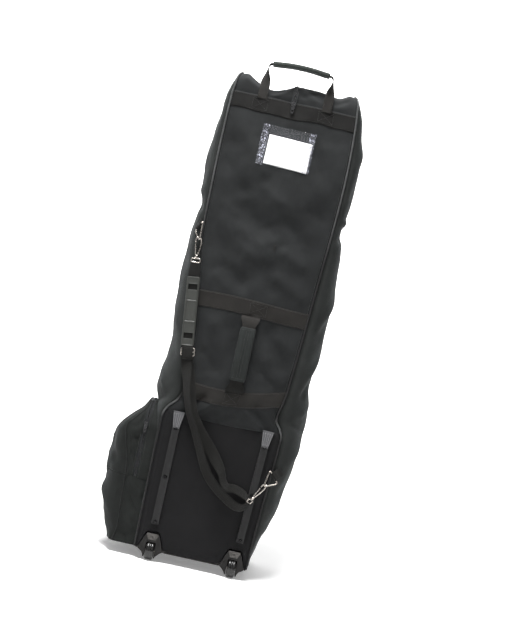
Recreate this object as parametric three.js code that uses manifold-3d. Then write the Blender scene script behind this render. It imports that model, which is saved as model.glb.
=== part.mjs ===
// A wheeled golf travel case standing on its two rear wheels and two front feet.
// Units are millimetres, +Z is up, and the back of the case, with its wheels and skid rails, faces -Y.
// The bag's own coordinates have X = 0 on its centre zip, Y = 0 on its back seams and Z = 0 on the floor.

import * as THREE from 'three';
import { mergeVertices } from 'three/addons/utils/BufferGeometryUtils.js';
import Module from 'manifold-3d';

const wasm = await Module();
wasm.setup();

// ---------------------------------------------------------------- driving dimensions

const DEPTH = 292;
const BASE_Z = 26;
const HOOD_Z = 1300;
const BOARD_TOP_Z = 398;
const BAND_WIDTH = 42;
const WALL = 5;
const BACK_PANEL = 2;
const GAP = 0.4;
const WEBBING = 1.6;
const PIPING_R = 2.4;

const WHEEL_R = 25;
const WHEEL_WIDTH = 22;
const WHEEL_Y = 6;
const AXLE_R = 3;
const WHEEL_X = [-115, 104];

const POCKET = {
  back: 9, front: 252, zipX: -196, seamZ: 204, domeZ: 338, topZ: 404, rootX: -172,
};
const FLAP = { bottom: 64, top: 1222, hingeX: 156, freeX: 12 };
const STRAP_WIDTH = 30;
const WIRE_R = 1.7;

const RAIL = { bottom: 96, top: 398, width: 19, height: 9, flare: 33, flareLength: 40 };
const RAIL_X = { left: [-116.5, -116.5], right: [111, 122.5] };
const BOARD_FACE = -2.4;
const SCREW_R = 4.4;
const SHANK_R = 2;
const SCREW_Z = [103.5, 224, 354];

const HOUSING = { width: 64, depth: 38, top: 72 };
const HANDLE = { x: 12.6, low: 494, high: 666, pivotY: -27, width: 38 };
const PAD = { width: 34, length: 181 };
const TAB_WIDTH = 24;
const HOOK_REACH = 61.5;
const RING_CLEAR = 9.5;

const CENTRE = { x: 29.5, y: -132 };

// ---------------------------------------------------------------- colours

const finish = (color, roughness, metalness = 0) => new THREE.MeshStandardMaterial({
  color, roughness, metalness,
});
const FABRIC = () => finish(0x2b2e30, 0.85);
const BOARD_FABRIC = () => finish(0x222124, 0.8);
const WEB = () => finish(0x2a2725, 0.8);
const CORD = () => finish(0x3a3c3c, 0.6);
const PLASTIC = () => finish(0x242528, 0.5);
const RUBBER = () => finish(0x1d1d1e, 0.7);
const NICKEL = () => finish(0xb9b6ae, 0.3, 1);
const DARK_STEEL = () => finish(0x303134, 0.4, 1);
const FOAM = () => finish(0x3c3e40, 0.95);
const GRIP = () => finish(0x3b3d39, 0.7);
const PVC = () => finish(0xdfe3e6, 0.15);
const CARD = () => finish(0xf2f2f0, 0.9);

const bag = new THREE.Group();
bag.position.set(CENTRE.x, CENTRE.y, 0);

function add(name, geometry, material, parent = bag) {
  const mesh = new THREE.Mesh(geometry, material);
  mesh.name = name;
  parent.add(mesh);
  return mesh;
}

// ---------------------------------------------------------------- curves and solids

const v3 = (x, y, z) => new THREE.Vector3(x, y, z);
const mix = THREE.MathUtils.lerp;
// A bulge from 0 to 1 and back over t = 0 to 1, fuller for a smaller power.
const bulge = (t, power) => Math.max(Math.sin(Math.PI * t), 0) ** power;

// A smooth function through [where, value] knots, level beyond its ends.
function profile(knots) {
  const slope = knots.map((k, i) => {
    const a = knots[Math.max(i - 1, 0)];
    const b = knots[Math.min(i + 1, knots.length - 1)];
    return (b[1] - a[1]) / (b[0] - a[0]);
  });
  return (at) => {
    const t = THREE.MathUtils.clamp(at, knots[0][0], knots.at(-1)[0]);
    const i = Math.min(knots.findLastIndex((k) => k[0] <= t), knots.length - 2);
    const h = knots[i + 1][0] - knots[i][0];
    const s = (t - knots[i][0]) / h;
    const back = 1 - s;
    return knots[i][1] * (1 + 2 * s) * back * back + slope[i] * h * s * back * back
      + knots[i + 1][1] * (3 - 2 * s) * s * s - slope[i + 1] * h * s * s * back;
  };
}

// A closed solid from rings of points: each ring joins the next, and the ends are capped by fans
// of triangles, unless the rings close on themselves.
function loft(rings, closed = false) {
  const count = rings[0].length;
  const position = rings.flat().flatMap((p) => [p.x, p.y, p.z]);
  const index = [];
  const last = closed ? rings.length : rings.length - 1;
  for (let r = 0; r < last; r++) {
    for (let i = 0; i < count; i++) {
      const a = r * count + i;
      const b = r * count + (i + 1) % count;
      const c = ((r + 1) % rings.length) * count + (i + 1) % count;
      const d = ((r + 1) % rings.length) * count + i;
      index.push(a, b, c, a, c, d);
    }
  }
  if (!closed) {
    const end = (rings.length - 1) * count;
    for (const [from, to] of capTriangles(count)) {
      index.push(0 + from[0], from[2], from[1]);
      index.push(end + to[0], end + to[1], end + to[2]);
    }
  }
  return outward(position, index);
}

// Triangles that cap a ring by zigzag, so that a long flat section caps as well as a round one.
function capTriangles(count) {
  const found = [];
  let low = 0;
  let high = count - 1;
  while (high - low > 1) {
    found.push([[low, low + 1, high], [low, low + 1, high]]);
    low += 1;
    if (high - low > 1) {
      found.push([[low, high - 1, high], [low, high - 1, high]]);
      high -= 1;
    }
  }
  return found;
}

// The geometry of an indexed solid, turned so that its faces point out.
function outward(position, index) {
  let volume = 0;
  const at = (i) => v3(position[3 * i], position[3 * i + 1], position[3 * i + 2]);
  for (let t = 0; t < index.length; t += 3) {
    volume += at(index[t]).dot(at(index[t + 1]).cross(at(index[t + 2])));
  }
  const faces = volume < 0 ? index.toReversed() : index;
  const geometry = new THREE.BufferGeometry();
  geometry.setAttribute('position', new THREE.Float32BufferAttribute(position, 3));
  geometry.setIndex(faces);
  return geometry;
}

// A thick sheet: surface(u, v) is one face, and the other lies `thickness` along its normal.
// Its section across u is one ring, and the rings follow v.
function sheet(surface, columns, rows, thickness) {
  const step = 1e-3;
  const normal = (u, v) => {
    const u0 = Math.max(u - step, 0);
    const v0 = Math.max(v - step, 0);
    const along = surface(Math.min(u + step, 1), v).sub(surface(u0, v));
    const up = surface(u, Math.min(v + step, 1)).sub(surface(u, v0));
    return along.cross(up).normalize();
  };
  const rings = [];
  for (let r = 0; r <= rows; r++) {
    const v = r / rows;
    const front = [];
    const behind = [];
    for (let c = 0; c <= columns; c++) {
      const u = c / columns;
      const p = surface(u, v);
      front.push(p);
      behind.unshift(p.clone().addScaledVector(normal(u, v), thickness));
    }
    rings.push([...front, ...behind]);
  }
  return loft(rings);
}

const circle = (radius, sides) => Array.from({ length: sides }, (_, i) => {
  const a = (2 * Math.PI * i) / sides;
  return [radius * Math.cos(a), radius * Math.sin(a)];
});
const strip = (width, thickness) => [
  [-width / 2, -thickness / 2], [width / 2, -thickness / 2],
  [width / 2, thickness / 2], [-width / 2, thickness / 2],
];

// A section swept along a list of points. `facing` is the direction of the section's second axis,
// one vector for all the points or one for each.
function sweep(points, section, facing, closed = false) {
  const rings = points.map((p, i) => {
    const before = points[closed ? (i + points.length - 1) % points.length : Math.max(i - 1, 0)];
    const after = points[closed ? (i + 1) % points.length : Math.min(i + 1, points.length - 1)];
    const tangent = after.clone().sub(before).normalize();
    const face = Array.isArray(facing) ? facing[i] : facing;
    const side = tangent.clone().cross(face).normalize();
    const up = side.clone().cross(tangent);
    return section.map(([x, y]) => p.clone().addScaledVector(side, x).addScaledVector(up, y));
  });
  return loft(rings, closed);
}

// Evenly spaced points on a smooth curve through the given ones.
function along(points, count, closed = false) {
  const curve = new THREE.CatmullRomCurve3(points, closed, 'centripetal');
  const spaced = curve.getSpacedPoints(count);
  return closed ? spaced.slice(0, -1) : spaced;
}

const lathe = (outline, segments) => new THREE.LatheGeometry(
  outline.map(([r, z]) => new THREE.Vector2(r, z)), segments,
);
// Prisms of an (x, z) outline from y0 to y1, and of a (y, z) outline from x0 to x1.
function prism(outline, depth) {
  const shape = new THREE.Shape(outline.map(([x, y]) => new THREE.Vector2(x, y)));
  return new THREE.ExtrudeGeometry(shape, { depth, bevelEnabled: false }).rotateX(Math.PI / 2);
}
const prismY = (outline, y0, y1) => prism(outline, y1 - y0).translate(0, y1, 0);
const prismX = (outline, x0, x1) => prism(outline, x1 - x0).rotateZ(Math.PI / 2).translate(x0, 0, 0);
const block = (x0, x1, y0, y1, z0, z1) => new THREE.BoxGeometry(x1 - x0, y1 - y0, z1 - z0)
  .translate((x0 + x1) / 2, (y0 + y1) / 2, (z0 + z1) / 2);
const rodY = (radius, length, sides = 12) => new THREE.CylinderGeometry(radius, radius, length, sides);
const rodX = (radius, length, sides = 24) => rodY(radius, length, sides).rotateZ(Math.PI / 2);

function solidOf(geometry) {
  const bare = geometry.clone();
  bare.deleteAttribute('normal');
  bare.deleteAttribute('uv');
  const merged = mergeVertices(bare, 1e-4);
  return new wasm.Manifold(new wasm.Mesh({
    numProp: 3,
    vertProperties: new Float32Array(merged.attributes.position.array),
    triVerts: new Uint32Array(merged.index.array),
  }));
}

function geometryOf(solid) {
  const mesh = solid.getMesh();
  const geometry = new THREE.BufferGeometry();
  geometry.setAttribute('position', new THREE.BufferAttribute(mesh.vertProperties, 3));
  geometry.setIndex(new THREE.BufferAttribute(mesh.triVerts, 1));
  return geometry;
}

const cut = (geometry, ...tools) => geometryOf(
  tools.reduce((solid, tool) => solid.subtract(solidOf(tool)), solidOf(geometry)),
);
const meet = (one, other) => geometryOf(solidOf(one).intersect(solidOf(other)));
const join = (...pieces) => geometryOf(
  pieces.slice(1).reduce((solid, piece) => solid.add(solidOf(piece)), solidOf(pieces[0])),
);

// ---------------------------------------------------------------- the bag's outline

// X of each back seam, and of each gusset's widest line, at a height. Above the board the seams turn
// in, so that the gussets wrap round the back.
const SEAM = {
  left: profile([
    [31, -156], [380, -159], [405, -150], [430, -128], [460, -119], [600, -124], [780, -150],
    [880, -161], [1245, -163], [HOOD_Z, -148],
  ]),
  right: profile([
    [31, 143], [150, 146], [385, 158], [408, 150], [430, 136], [500, 147], [777, 164],
    [1060, 177], [1245, 171], [HOOD_Z, 158],
  ]),
};
const WIDEST = {
  left: profile([
    [31, -159], [405, -165], [450, -187], [560, -181], [730, -190], [850, -184], [940, -180],
    [962, -174], [990, -184], [1080, -183], [1218, -174], [HOOD_Z, -150],
  ]),
  right: profile([
    [31, 146], [115, 165], [210, 190], [330, 208], [440, 211], [560, 201], [750, 214], [900, 206],
    [945, 193], [965, 190], [990, 200], [1130, 206], [1218, 190], [HOOD_Z, 160],
  ]),
};
const FRONT_X = { left: -160, right: 160 };

// How far the soft back panel swells towards -Y.
const BACK_SWELL = profile([[400, 3], [560, 12], [760, 15], [1000, 14], [1210, 8], [1300, 4]]);

function backPoint(u, z, out = 0) {
  const x = mix(SEAM.left(z) + 4, SEAM.right(z) - 4, u);
  const across = 2 * u - 1;
  return v3(x, -BACK_SWELL(z) * (1 - across * across) - out, z);
}

// The back panel's Y at a place on it.
function backY(x, z) {
  const u = (x - SEAM.left(z) - 4) / (SEAM.right(z) - SEAM.left(z) - 8);
  return backPoint(u, z).y;
}

// A thin rectangular piece that follows the back panel, `out` in front of it.
function patch(x0, x1, z0, z1, out, thickness) {
  const surface = (u, v) => {
    const x = mix(x0, x1, u);
    const z = mix(z0, z1, v);
    return v3(x, backY(x, z) - out, z);
  };
  return sheet(surface, 6, 4, -thickness);
}

// ---------------------------------------------------------------- shell of the bag

function sideGusset(side) {
  const sign = side === 'left' ? -1 : 1;
  const roundTop = profile([[0, 1262], [0.1, 1290], [0.22, HOOD_Z - 3], [0.8, HOOD_Z - 6], [1, 1262]]);
  const surface = (u, v) => {
    const z = mix(31, roundTop(u), v);
    const seam = SEAM[side](z) + sign * 3;
    const straight = mix(seam, FRONT_X[side], u);
    const middle = (seam + FRONT_X[side]) / 2;
    const swell = Math.max(sign * (WIDEST[side](z) - middle), 1);
    const round = bulge(u, 0.6);
    return v3(straight + sign * swell * round, mix(3, DEPTH - 2, u), z);
  };
  return sheet(surface, 7, 26, sign * -WALL);
}

function upperBackPanel() {
  const surface = (u, v) => backPoint(u, mix(BOARD_TOP_Z + 6, 1253, v));
  return sheet(surface, 8, 15, -BACK_PANEL);
}

// Height of the hood's top line at a place across it: stiff corners, dips at the handle, and a hump
// under the zip.
const TOP_LINE = profile([
  [-160, HOOD_Z - 8], [-138, HOOD_Z - 3], [-87, 1274], [-59, 1268], [0, 1290], [60, 1289], [110, 1284],
  [148, 1297], [170, HOOD_Z - 14],
]);

function hoodTop(side) {
  const sign = side === 'left' ? -1 : 1;
  const surface = (u, v) => {
    const crown = bulge(v, 0.45);
    const seam = mix(SEAM[side](1257), SEAM[side](HOOD_Z), crown);
    const x = mix(sign * 9, mix(seam, sign * 158, v) - sign * 10, u);
    const z = mix(mix(1257, 1240, v), TOP_LINE(x) - 6, crown);
    const y = mix(0, DEPTH - 4, v) - BACK_SWELL(1256) * (1 - v) * (1 - u * u * 0.8);
    return v3(x, y, z);
  };
  return sheet(surface, 7, 12, -sign * 4);
}

function webbingBand(low, high, left = 0, right = 1) {
  const surface = (u, v) => backPoint(mix(left, right, u), mix(low(u), high(u), v), 0.9);
  return sheet(surface, 12, 2, WEBBING);
}

// The board behind the lower back panel, tapering to the base, with holes for the rails' screws.
function lowerBackBoard() {
  const outline = [
    [SEAM.left(62) + 4, 72], [SEAM.right(62) - 4, 72],
    [SEAM.right(200) - 4, 200], [SEAM.right(370) - 5, 370],
    [SEAM.right(370) - 24, BOARD_TOP_Z], [SEAM.left(370) + 24, BOARD_TOP_Z],
    [SEAM.left(370) + 5, 370],
  ];
  const holes = ['left', 'right'].flatMap((side) => SCREW_Z.map((z) => {
    return rodY(SHANK_R + GAP, 20).translate(railX(side, z), 0, z);
  }));
  return cut(prismY(outline, BOARD_FACE, BOARD_FACE + 6), ...holes);
}

function seamPiping(side) {
  const sign = side === 'left' ? -1 : 1;
  const heights = [
    32, 120, 250, 350, 385, 400, 412, 424, 436, 455, 500, 640, 780, 900, 1060, 1200, 1258,
  ];
  const rise = heights.map((z) => v3(SEAM[side](z), -2.6, z));
  const topX = SEAM[side](HOOD_Z) - sign * 2;
  const over = [
    v3(SEAM[side](1278), 0, 1281), v3(SEAM[side](1290), 12, 1296), v3(SEAM[side](1295), 34, 1302.5),
    v3(topX, 70, 1303.5), v3(topX, 150, 1303), v3(topX, 240, 1301),
  ];
  return sweep([...rise, ...over], circle(PIPING_R, 6), v3(0, -1, 0.02));
}

function baseTray() {
  const y = { back: 2, front: DEPTH - 1 };
  const left = SEAM.left(31) + 2;
  const right = SEAM.right(31) - 2;
  const outer = block(left, right, y.back, y.front, BASE_Z + GAP, BASE_Z + 34);
  const inner = block(left + 4, right - 4, y.back + 4, y.front - 4, BASE_Z + 4, BASE_Z + 60);
  const half = HOUSING.width / 2 + 0.8;
  const notches = WHEEL_X.map((x) => block(x - half, x + half, -20, HOUSING.depth + 1, 0, 99));
  return cut(outer, inner, ...notches);
}

// Two feet on one moulded bar under the front edge of the tray.
function frontFeet() {
  const bar = block(-138, 128, DEPTH - 42, DEPTH - 8, BASE_Z - 5, BASE_Z);
  const foot = (x) => prismY(
    [[x - 40, BASE_Z - 2], [x - 32, 0], [x + 32, 0], [x + 40, BASE_Z - 2]], DEPTH - 42, DEPTH - 8,
  );
  return join(bar, foot(-96), foot(86));
}

function hoodFoam() {
  const surface = (u, v) => backPoint(mix(0.04, 0.96, u), mix(985, 1196, v), -4.4);
  return sheet(surface, 6, 3, -9);
}

// A compression strap across the inside of the back, with its buckle.
function innerStrap(z) {
  const surface = (u, v) => backPoint(mix(0.04, 0.96, u), z + mix(-19, 19, v), -5.6);
  const y = 6 - BACK_SWELL(z);
  return join(sheet(surface, 12, 1, -1.6), block(-24, 36, y, y + 11, z - 22, z + 22));
}

// The carry handle's sewn end, rising from a band to where the handle starts to swing.
function handleFoot(bandZ, endZ) {
  const start = v3(HANDLE.x, backY(HANDLE.x, bandZ) - 1.7, bandZ);
  const bend = v3(HANDLE.x, start.y - 2, mix(bandZ, endZ, 0.45));
  return sweep([start, bend, v3(HANDLE.x, HANDLE.pivotY, endZ)], strip(HANDLE.width, WEBBING), v3(0, -1, 0));
}

function buildShell() {
  add('left_side_gusset', sideGusset('left'), FABRIC());
  add('right_side_gusset', sideGusset('right'), FABRIC());
  add('upper_back_panel', upperBackPanel(), FABRIC());
  add('lower_back_board', lowerBackBoard(), BOARD_FABRIC());
  add('hood_top_left', hoodTop('left'), FABRIC());
  add('hood_top_right', hoodTop('right'), FABRIC());
  add('left_piping', seamPiping('left'), CORD());
  add('right_piping', seamPiping('right'), CORD());
  add('base_tray', baseTray(), PLASTIC());
  add('front_feet', frontFeet(), RUBBER());
  add('hood_foam', hoodFoam(), FOAM());
  add('inner_strap_upper', innerStrap(860), WEB());
  add('inner_strap_lower', innerStrap(560), WEB());
  add('top_band', webbingBand(() => 1209, () => 1209 + BAND_WIDTH), WEB());
  const upper = webbingBand(() => 680, () => 680 + BAND_WIDTH);
  const sag = (u) => 441 - 14 * Math.sin(Math.PI * u) + 24 * u;
  const lower = webbingBand(sag, (u) => sag(u) + BAND_WIDTH);
  add('upper_band', join(upper, handleFoot(690, HANDLE.high)), WEB());
  add('lower_band', join(lower, handleFoot(474, HANDLE.low)), WEB());
}

// ---------------------------------------------------------------- front flaps and the main zip

function frontFlap(side) {
  const sign = side === 'left' ? -1 : 1;
  const surface = (u, v) => {
    const x = sign * mix(FLAP.freeX, FLAP.hingeX, u);
    const swell = 10 * bulge(v, 0.4) * Math.cos(Math.PI / 2 * u);
    return v3(x, DEPTH + 4 + swell, mix(FLAP.bottom, FLAP.top, v));
  };
  return sheet(surface, 5, 8, sign * WALL);
}

// One side of the main zip on the front: its tape with the teeth's edge.
function frontZipTape(side) {
  const sign = side === 'left' ? -1 : 1;
  const x = [sign * (FLAP.freeX - 0.6), sign * GAP];
  const y = DEPTH + 9;
  return block(Math.min(...x), Math.max(...x), y, y + 3, FLAP.bottom + 10, FLAP.top - 10);
}

// The closed zip over the hood: from the slider on the back, over the top, to the front edge.
function hoodZip() {
  const points = along([
    v3(1, -7, 1258), v3(1, -3, 1272), v3(1, 14, 1282), v3(1, 60, 1285), v3(1, 150, 1285),
    v3(1, 230, 1284), v3(1, 272, 1276), v3(1, 286, 1250),
  ], 24);
  const facing = points.map((p, i) => {
    const next = points[Math.min(i + 1, points.length - 1)];
    const last = points[Math.max(i - 1, 0)];
    return v3(1, 0, 0).cross(next.clone().sub(last)).normalize();
  });
  return sweep(points, strip(13, 2.4), facing);
}

// A slider whose back lies on Y = 0, with the bridge that its pull hangs from.
function zipSlider({ length, width, height }) {
  const body = block(-width / 2, width / 2, -height, 0, -length / 2, length / 2);
  const arch = height + 3.4;
  const bridge = block(-1.2, 1.2, -arch, -height + 1, -length / 3, length / 3);
  const hole = block(-3, 3, -arch + 1.4, -height, 1.6 - length / 3, length / 3 - 1.6);
  return cut(join(body, bridge), hole);
}

// A pull that hangs from the origin, with an eye round the slider's bridge and a slot near its end.
function zipPull(length, width) {
  const half = width / 2;
  const tab = prismY([
    [-half, 2], [-half, -length * 0.8], [-half / 2, -length], [half / 2, -length],
    [half, -length * 0.8], [half, 2],
  ], -0.8, 0.8);
  const eye = block(-2.4, 2.4, -2, 2, -length * 0.34, 0.9);
  const slot = block(-half * 0.6, half * 0.6, -2, 2, -length * 0.82, -length * 0.6);
  return cut(tab, eye, slot);
}

function addZipEnds(name, slider, at, pullLength) {
  add(`${name}_slider`, zipSlider(slider), DARK_STEEL()).position.copy(at);
  const pull = add(`${name}_pull`, zipPull(pullLength, slider.width * 0.8), DARK_STEEL());
  pull.position.set(at.x, at.y - slider.height - 1, at.z + slider.length / 3 - 4);
}

function buildFront() {
  for (const side of ['left', 'right']) {
    add(`${side}_front_flap`, frontFlap(side), FABRIC());
    add(`${side}_front_zip`, frontZipTape(side), PLASTIC());
  }
  add('hood_zip', hoodZip(), PLASTIC());
  addZipEnds('main_zip', { length: 15, width: 11, height: 3.6 }, v3(1, -10.8, 1245), 24);
}

// ---------------------------------------------------------------- skid rails

const railX = (side, z) => {
  const [low, high] = RAIL_X[side];
  return mix(low, high, (z - RAIL.bottom) / (RAIL.top - RAIL.bottom));
};

// A rail with its foot at the origin, its length up Z and its back on Y = 0, facing -Y. Its sides
// and foot are bevelled, and its head flares into a grooved ramp.
function skidRail(length) {
  const half = RAIL.width / 2;
  const neck = length - RAIL.flareLength;
  const flat = prismY([
    [-half, 0], [half, 0], [half, neck], [RAIL.flare / 2, length], [-RAIL.flare / 2, length],
    [-half, neck],
  ], -RAIL.height, 0);
  const bevels = [-1, 1].map((sign) => new THREE.BoxGeometry(8, 8, length * 3)
    .rotateZ(Math.PI / 4).translate(sign * (half + 3), -RAIL.height - 2.4, length / 2));
  const foot = new THREE.BoxGeometry(60, 12, 12).rotateX(Math.PI / 4)
    .translate(0, -RAIL.height - 2, 0);
  const ramp = new THREE.BoxGeometry(60, 30, 80).translate(0, -15, 40)
    .rotateX(-0.15).translate(0, -RAIL.height, neck);
  const grooves = [-1, 1].map((sign) => new THREE.BoxGeometry(1.6, 3, 60)
    .rotateX(-0.15).translate(sign * 5.5, -6.5, length - 6));
  const wells = SCREW_Z.flatMap((z) => {
    const well = rodY(SCREW_R + 0.6, 8).translate(0, -RAIL.height, z - RAIL.bottom);
    return [well, rodY(SHANK_R + GAP, 30).translate(0, 0, z - RAIL.bottom)];
  });
  return cut(flat, ...bevels, foot, ramp, ...grooves, ...wells);
}

// Three screws through the rail and the board into one backing strip.
function railScrews(length) {
  const strip = block(-9, 9, 6.6, 8.6, 0, length - 20);
  const screws = SCREW_Z.map((z) => {
    const seat = 4 - RAIL.height - GAP;
    const head = lathe([
      [0, 0], [SCREW_R, 0], [SCREW_R, 1.2], [SCREW_R * 0.6, 2.6], [0, 2.8],
    ], 10).rotateX(Math.PI).translate(0, seat, 0);
    const cross = [new THREE.BoxGeometry(5, 3, 1.1), new THREE.BoxGeometry(1.1, 3, 5)]
      .map((bar) => bar.translate(0, seat - 2.9, 0));
    const shank = rodY(SHANK_R, 14, 8).translate(0, 1, 0);
    return join(cut(head, ...cross), shank).translate(0, 0, z - RAIL.bottom);
  });
  return join(strip, ...screws);
}

function buildRails() {
  for (const side of ['left', 'right']) {
    const [low, high] = RAIL_X[side];
    const length = RAIL.top - RAIL.bottom;
    const group = new THREE.Group();
    group.position.set(low, BOARD_FACE - GAP, RAIL.bottom);
    group.rotation.y = Math.atan2(high - low, length);
    bag.add(group);
    add(`${side}_skid_rail`, skidRail(length), PLASTIC(), group);
    add(`${side}_rail_screws`, railScrews(length), DARK_STEEL(), group);
  }
}

// ---------------------------------------------------------------- wheels and their housings

// A moulded corner round the wheel: broad at the base, with cheeks that hold the axle, and a flange
// up the outside of the board. X = 0 is the wheel's middle.
function wheelHousing() {
  const half = HOUSING.width / 2;
  const front = [
    [-16, 8], [-17, 14], [-21, 20], [-half, 27], [-half, 31], [-22, 58], [-15.5, HOUSING.top],
    [15.5, HOUSING.top], [22, 58], [half, 31], [half, 27], [21, 20], [17, 14], [16, 8],
  ];
  const side = [
    [-8, 8], [18, 8], [HOUSING.depth, 27], [HOUSING.depth, 46], [26, 60], [-3, 60],
    [-3, HOUSING.top], [-8, HOUSING.top],
  ];
  const body = meet(prismY(front, -60, 90), prismX(side, -60, 60));
  const well = rodX(WHEEL_R + 2.5, WHEEL_WIDTH + 3).translate(0, WHEEL_Y, WHEEL_R);
  const bore = rodX(AXLE_R + GAP, 41, 12).translate(0, WHEEL_Y, WHEEL_R);
  return cut(body, well, bore);
}

// A pressed plate on the housing's flange, with its rivet and a raised upper edge.
function housingPlate() {
  const plate = prismY([[-10, 55], [-15, 67], [-15, 71.5], [15, 71.5], [15, 67], [10, 55]], -9.4, -8.4);
  const lip = block(-15, 15, -11, -9, 67.5, 71.5);
  const rivet = lathe([[0, 0], [4, 0], [3.4, 1.4], [0, 2]], 12).rotateX(Math.PI);
  return join(plate, lip, rivet.translate(0, -9, 60.5));
}

function wheel() {
  const half = WHEEL_WIDTH / 2;
  const bore = AXLE_R + GAP;
  return lathe([
    [bore, -half + 1], [8, -half], [11, -half + 2], [WHEEL_R - 7, -half + 2], [WHEEL_R - 5, -half],
    [WHEEL_R - 1.5, 2 - half], [WHEEL_R, 4 - half], [WHEEL_R, half - 4], [WHEEL_R - 1.5, half - 2],
    [WHEEL_R - 5, half], [WHEEL_R - 7, half - 2], [11, half - 2], [8, half], [bore, half - 1],
    [bore, 1 - half],
  ], 24).rotateZ(Math.PI / 2);
}

function buildWheels() {
  ['left', 'right'].forEach((side, i) => {
    const x = WHEEL_X[i];
    add(`${side}_wheel_housing`, wheelHousing(), PLASTIC()).position.x = x;
    add(`${side}_housing_plate`, housingPlate(), NICKEL()).position.x = x;
    add(`${side}_axle`, rodX(AXLE_R, 40, 12), NICKEL()).position.set(x, WHEEL_Y, WHEEL_R);
    add(`${side}_wheel`, wheel(), RUBBER()).position.set(x, WHEEL_Y, WHEEL_R);
  });
}

// ---------------------------------------------------------------- name window and handles

function buildWindow() {
  add('id_card', patch(-44, 72, 1079, 1157, 1.2, 0.6), CARD());
  add('id_window', patch(-64, 77, 1075, 1182, 2.6, 0.6), PVC());
}

// Webbing with a wrapped grip: `path` and `facing` are the webbing's, and the grip takes the points
// from the first to the last index of `held`.
function gripSleeve(path, facing, held, width, thickness) {
  const points = path.slice(held[0], held[1] + 1);
  const faces = facing.slice(held[0], held[1] + 1);
  const first = points[0].clone().sub(points[1]).setLength(3);
  const last = points.at(-1).clone().sub(points.at(-2)).setLength(3);
  const longer = [points[0].clone().add(first), ...points, points.at(-1).clone().add(last)];
  const longerFaces = [faces[0], ...faces, faces.at(-1)];
  const round = [
    [-0.5, -0.2], [-0.38, -0.5], [0.38, -0.5], [0.5, -0.2], [0.5, 0.2], [0.38, 0.5], [-0.38, 0.5],
    [-0.5, 0.2],
  ].map(([x, y]) => [x * width, y * thickness]);
  return cut(sweep(points, round, faces), sweep(longer, strip(width - 7, 3), longerFaces));
}

// The legs face the back at their feet, and turn edge on before they run into the grip.
function buildTopHandle() {
  const leg = (x, sign) => [
    [v3(x, -10, 1256), v3(0, -1, 0)], [v3(x, -10.5, 1275), v3(sign * 0.1, -1, 0)],
    [v3(x, -10, 1294), v3(sign * 0.5, -0.9, 0)], [v3(x + sign, -9.5, 1311), v3(sign * 0.9, -0.4, 0)],
    [v3(x + sign, -9, 1325), v3(sign, -0.1, 0.1)], [v3(x - sign * 1, -9, 1333), v3(sign * 0.8, 0, 0.6)],
    [v3(x - sign * 5, -9, 1337.5), v3(sign * 0.4, 0, 1)],
  ];
  const middle = [-60, -30, 0, 30, 60].map((x) => [v3(x + 2, -9, 1344 - (x / 30) ** 2), v3(0, 0, 1)]);
  const all = [...leg(-83, -1), ...middle, ...leg(89, 1).reverse()];
  const path = all.map(([point]) => point);
  const facing = all.map(([, face]) => face.normalize());
  add('top_handle_webbing', sweep(path, strip(26, WEBBING), facing), WEB());
  add('top_handle_grip', gripSleeve(path, facing, [6, 12], 34, 12), GRIP());
}

function buildCarryHandle() {
  const { x, low, high, pivotY } = HANDLE;
  const clear = 1.4;
  const heights = [high - clear, high - 8, high - 24, 600, 570, 540, low + 24, low + 8, low + clear];
  const path = heights.map((z) => {
    const t = (z - low) / (high - low);
    return v3(x, pivotY - 13 * bulge(t, 0.7), z);
  });
  const facing = path.map(() => v3(0, -1, 0));
  add('carry_handle_webbing', sweep(path, strip(HANDLE.width - 2, WEBBING), facing), WEB());
  add('carry_handle_grip', gripSleeve(path, facing, [1, 7], 44, 11), GRIP());
}

// ---------------------------------------------------------------- shoulder strap

// A wire ring round three corners, each rounded.
function triangleRing(corners) {
  const points = corners.flatMap((corner, i) => {
    const [before, after] = [corners[(i + 2) % 3], corners[(i + 1) % 3]];
    const from = before.clone().sub(corner).setLength(8).add(corner);
    const to = after.clone().sub(corner).setLength(8).add(corner);
    return new THREE.QuadraticBezierCurve3(from, corner, to).getPoints(5);
  });
  const plane = corners[1].clone().sub(corners[0]).cross(corners[2].clone().sub(corners[0]));
  return sweep(points, circle(WIRE_R, 8), plane.normalize(), true);
}

// A webbing tab from a seam, folded round the ring's side between its first two corners.
function ringTab([one, two], anchor) {
  const edge = two.clone().sub(one).normalize();
  const middle = one.clone().add(two).multiplyScalar(0.5);
  const pull = anchor.clone().sub(middle);
  pull.addScaledVector(edge, -pull.dot(edge));
  const reach = pull.length();
  pull.normalize();
  const across = edge.clone().cross(pull);
  const fold = WIRE_R + 1.3;
  const spot = (out, side) => middle.clone().addScaledVector(pull, out).addScaledVector(across, side);
  const arc = [-90, -54, -18, 18, 54, 90].map((deg) => {
    const a = THREE.MathUtils.degToRad(deg);
    return [spot(-fold * Math.cos(a), fold * Math.sin(a)), spot(-Math.cos(a), Math.sin(a)).sub(middle)];
  });
  const all = [
    [spot(reach, -1.2), across.clone().negate()], [spot(8, -fold), across.clone().negate()], ...arc,
    [spot(8, fold), across], [spot(reach, 1.2), across],
  ];
  return sweep(all.map(([p]) => p), strip(TAB_WIDTH, 1.4), all.map(([, f]) => f));
}

// A snap hook stands on its eye's middle, its nose up Z, in the XZ plane.
function hookEye() {
  const { x, z } = { x: 11, z: 5 };
  const points = [
    v3(-x, 0, 0), v3(-x, 0, z - 2), v3(2 - x, 0, z), v3(0, 0, z), v3(x - 2, 0, z), v3(x, 0, z - 2),
    v3(x, 0, 0), v3(x, 0, 2 - z), v3(x - 2, 0, -z), v3(0, 0, -z), v3(2 - x, 0, -z), v3(-x, 0, 2 - z),
  ];
  return sweep(points, circle(1.5, 8), v3(0, 1, 0), true);
}

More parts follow.
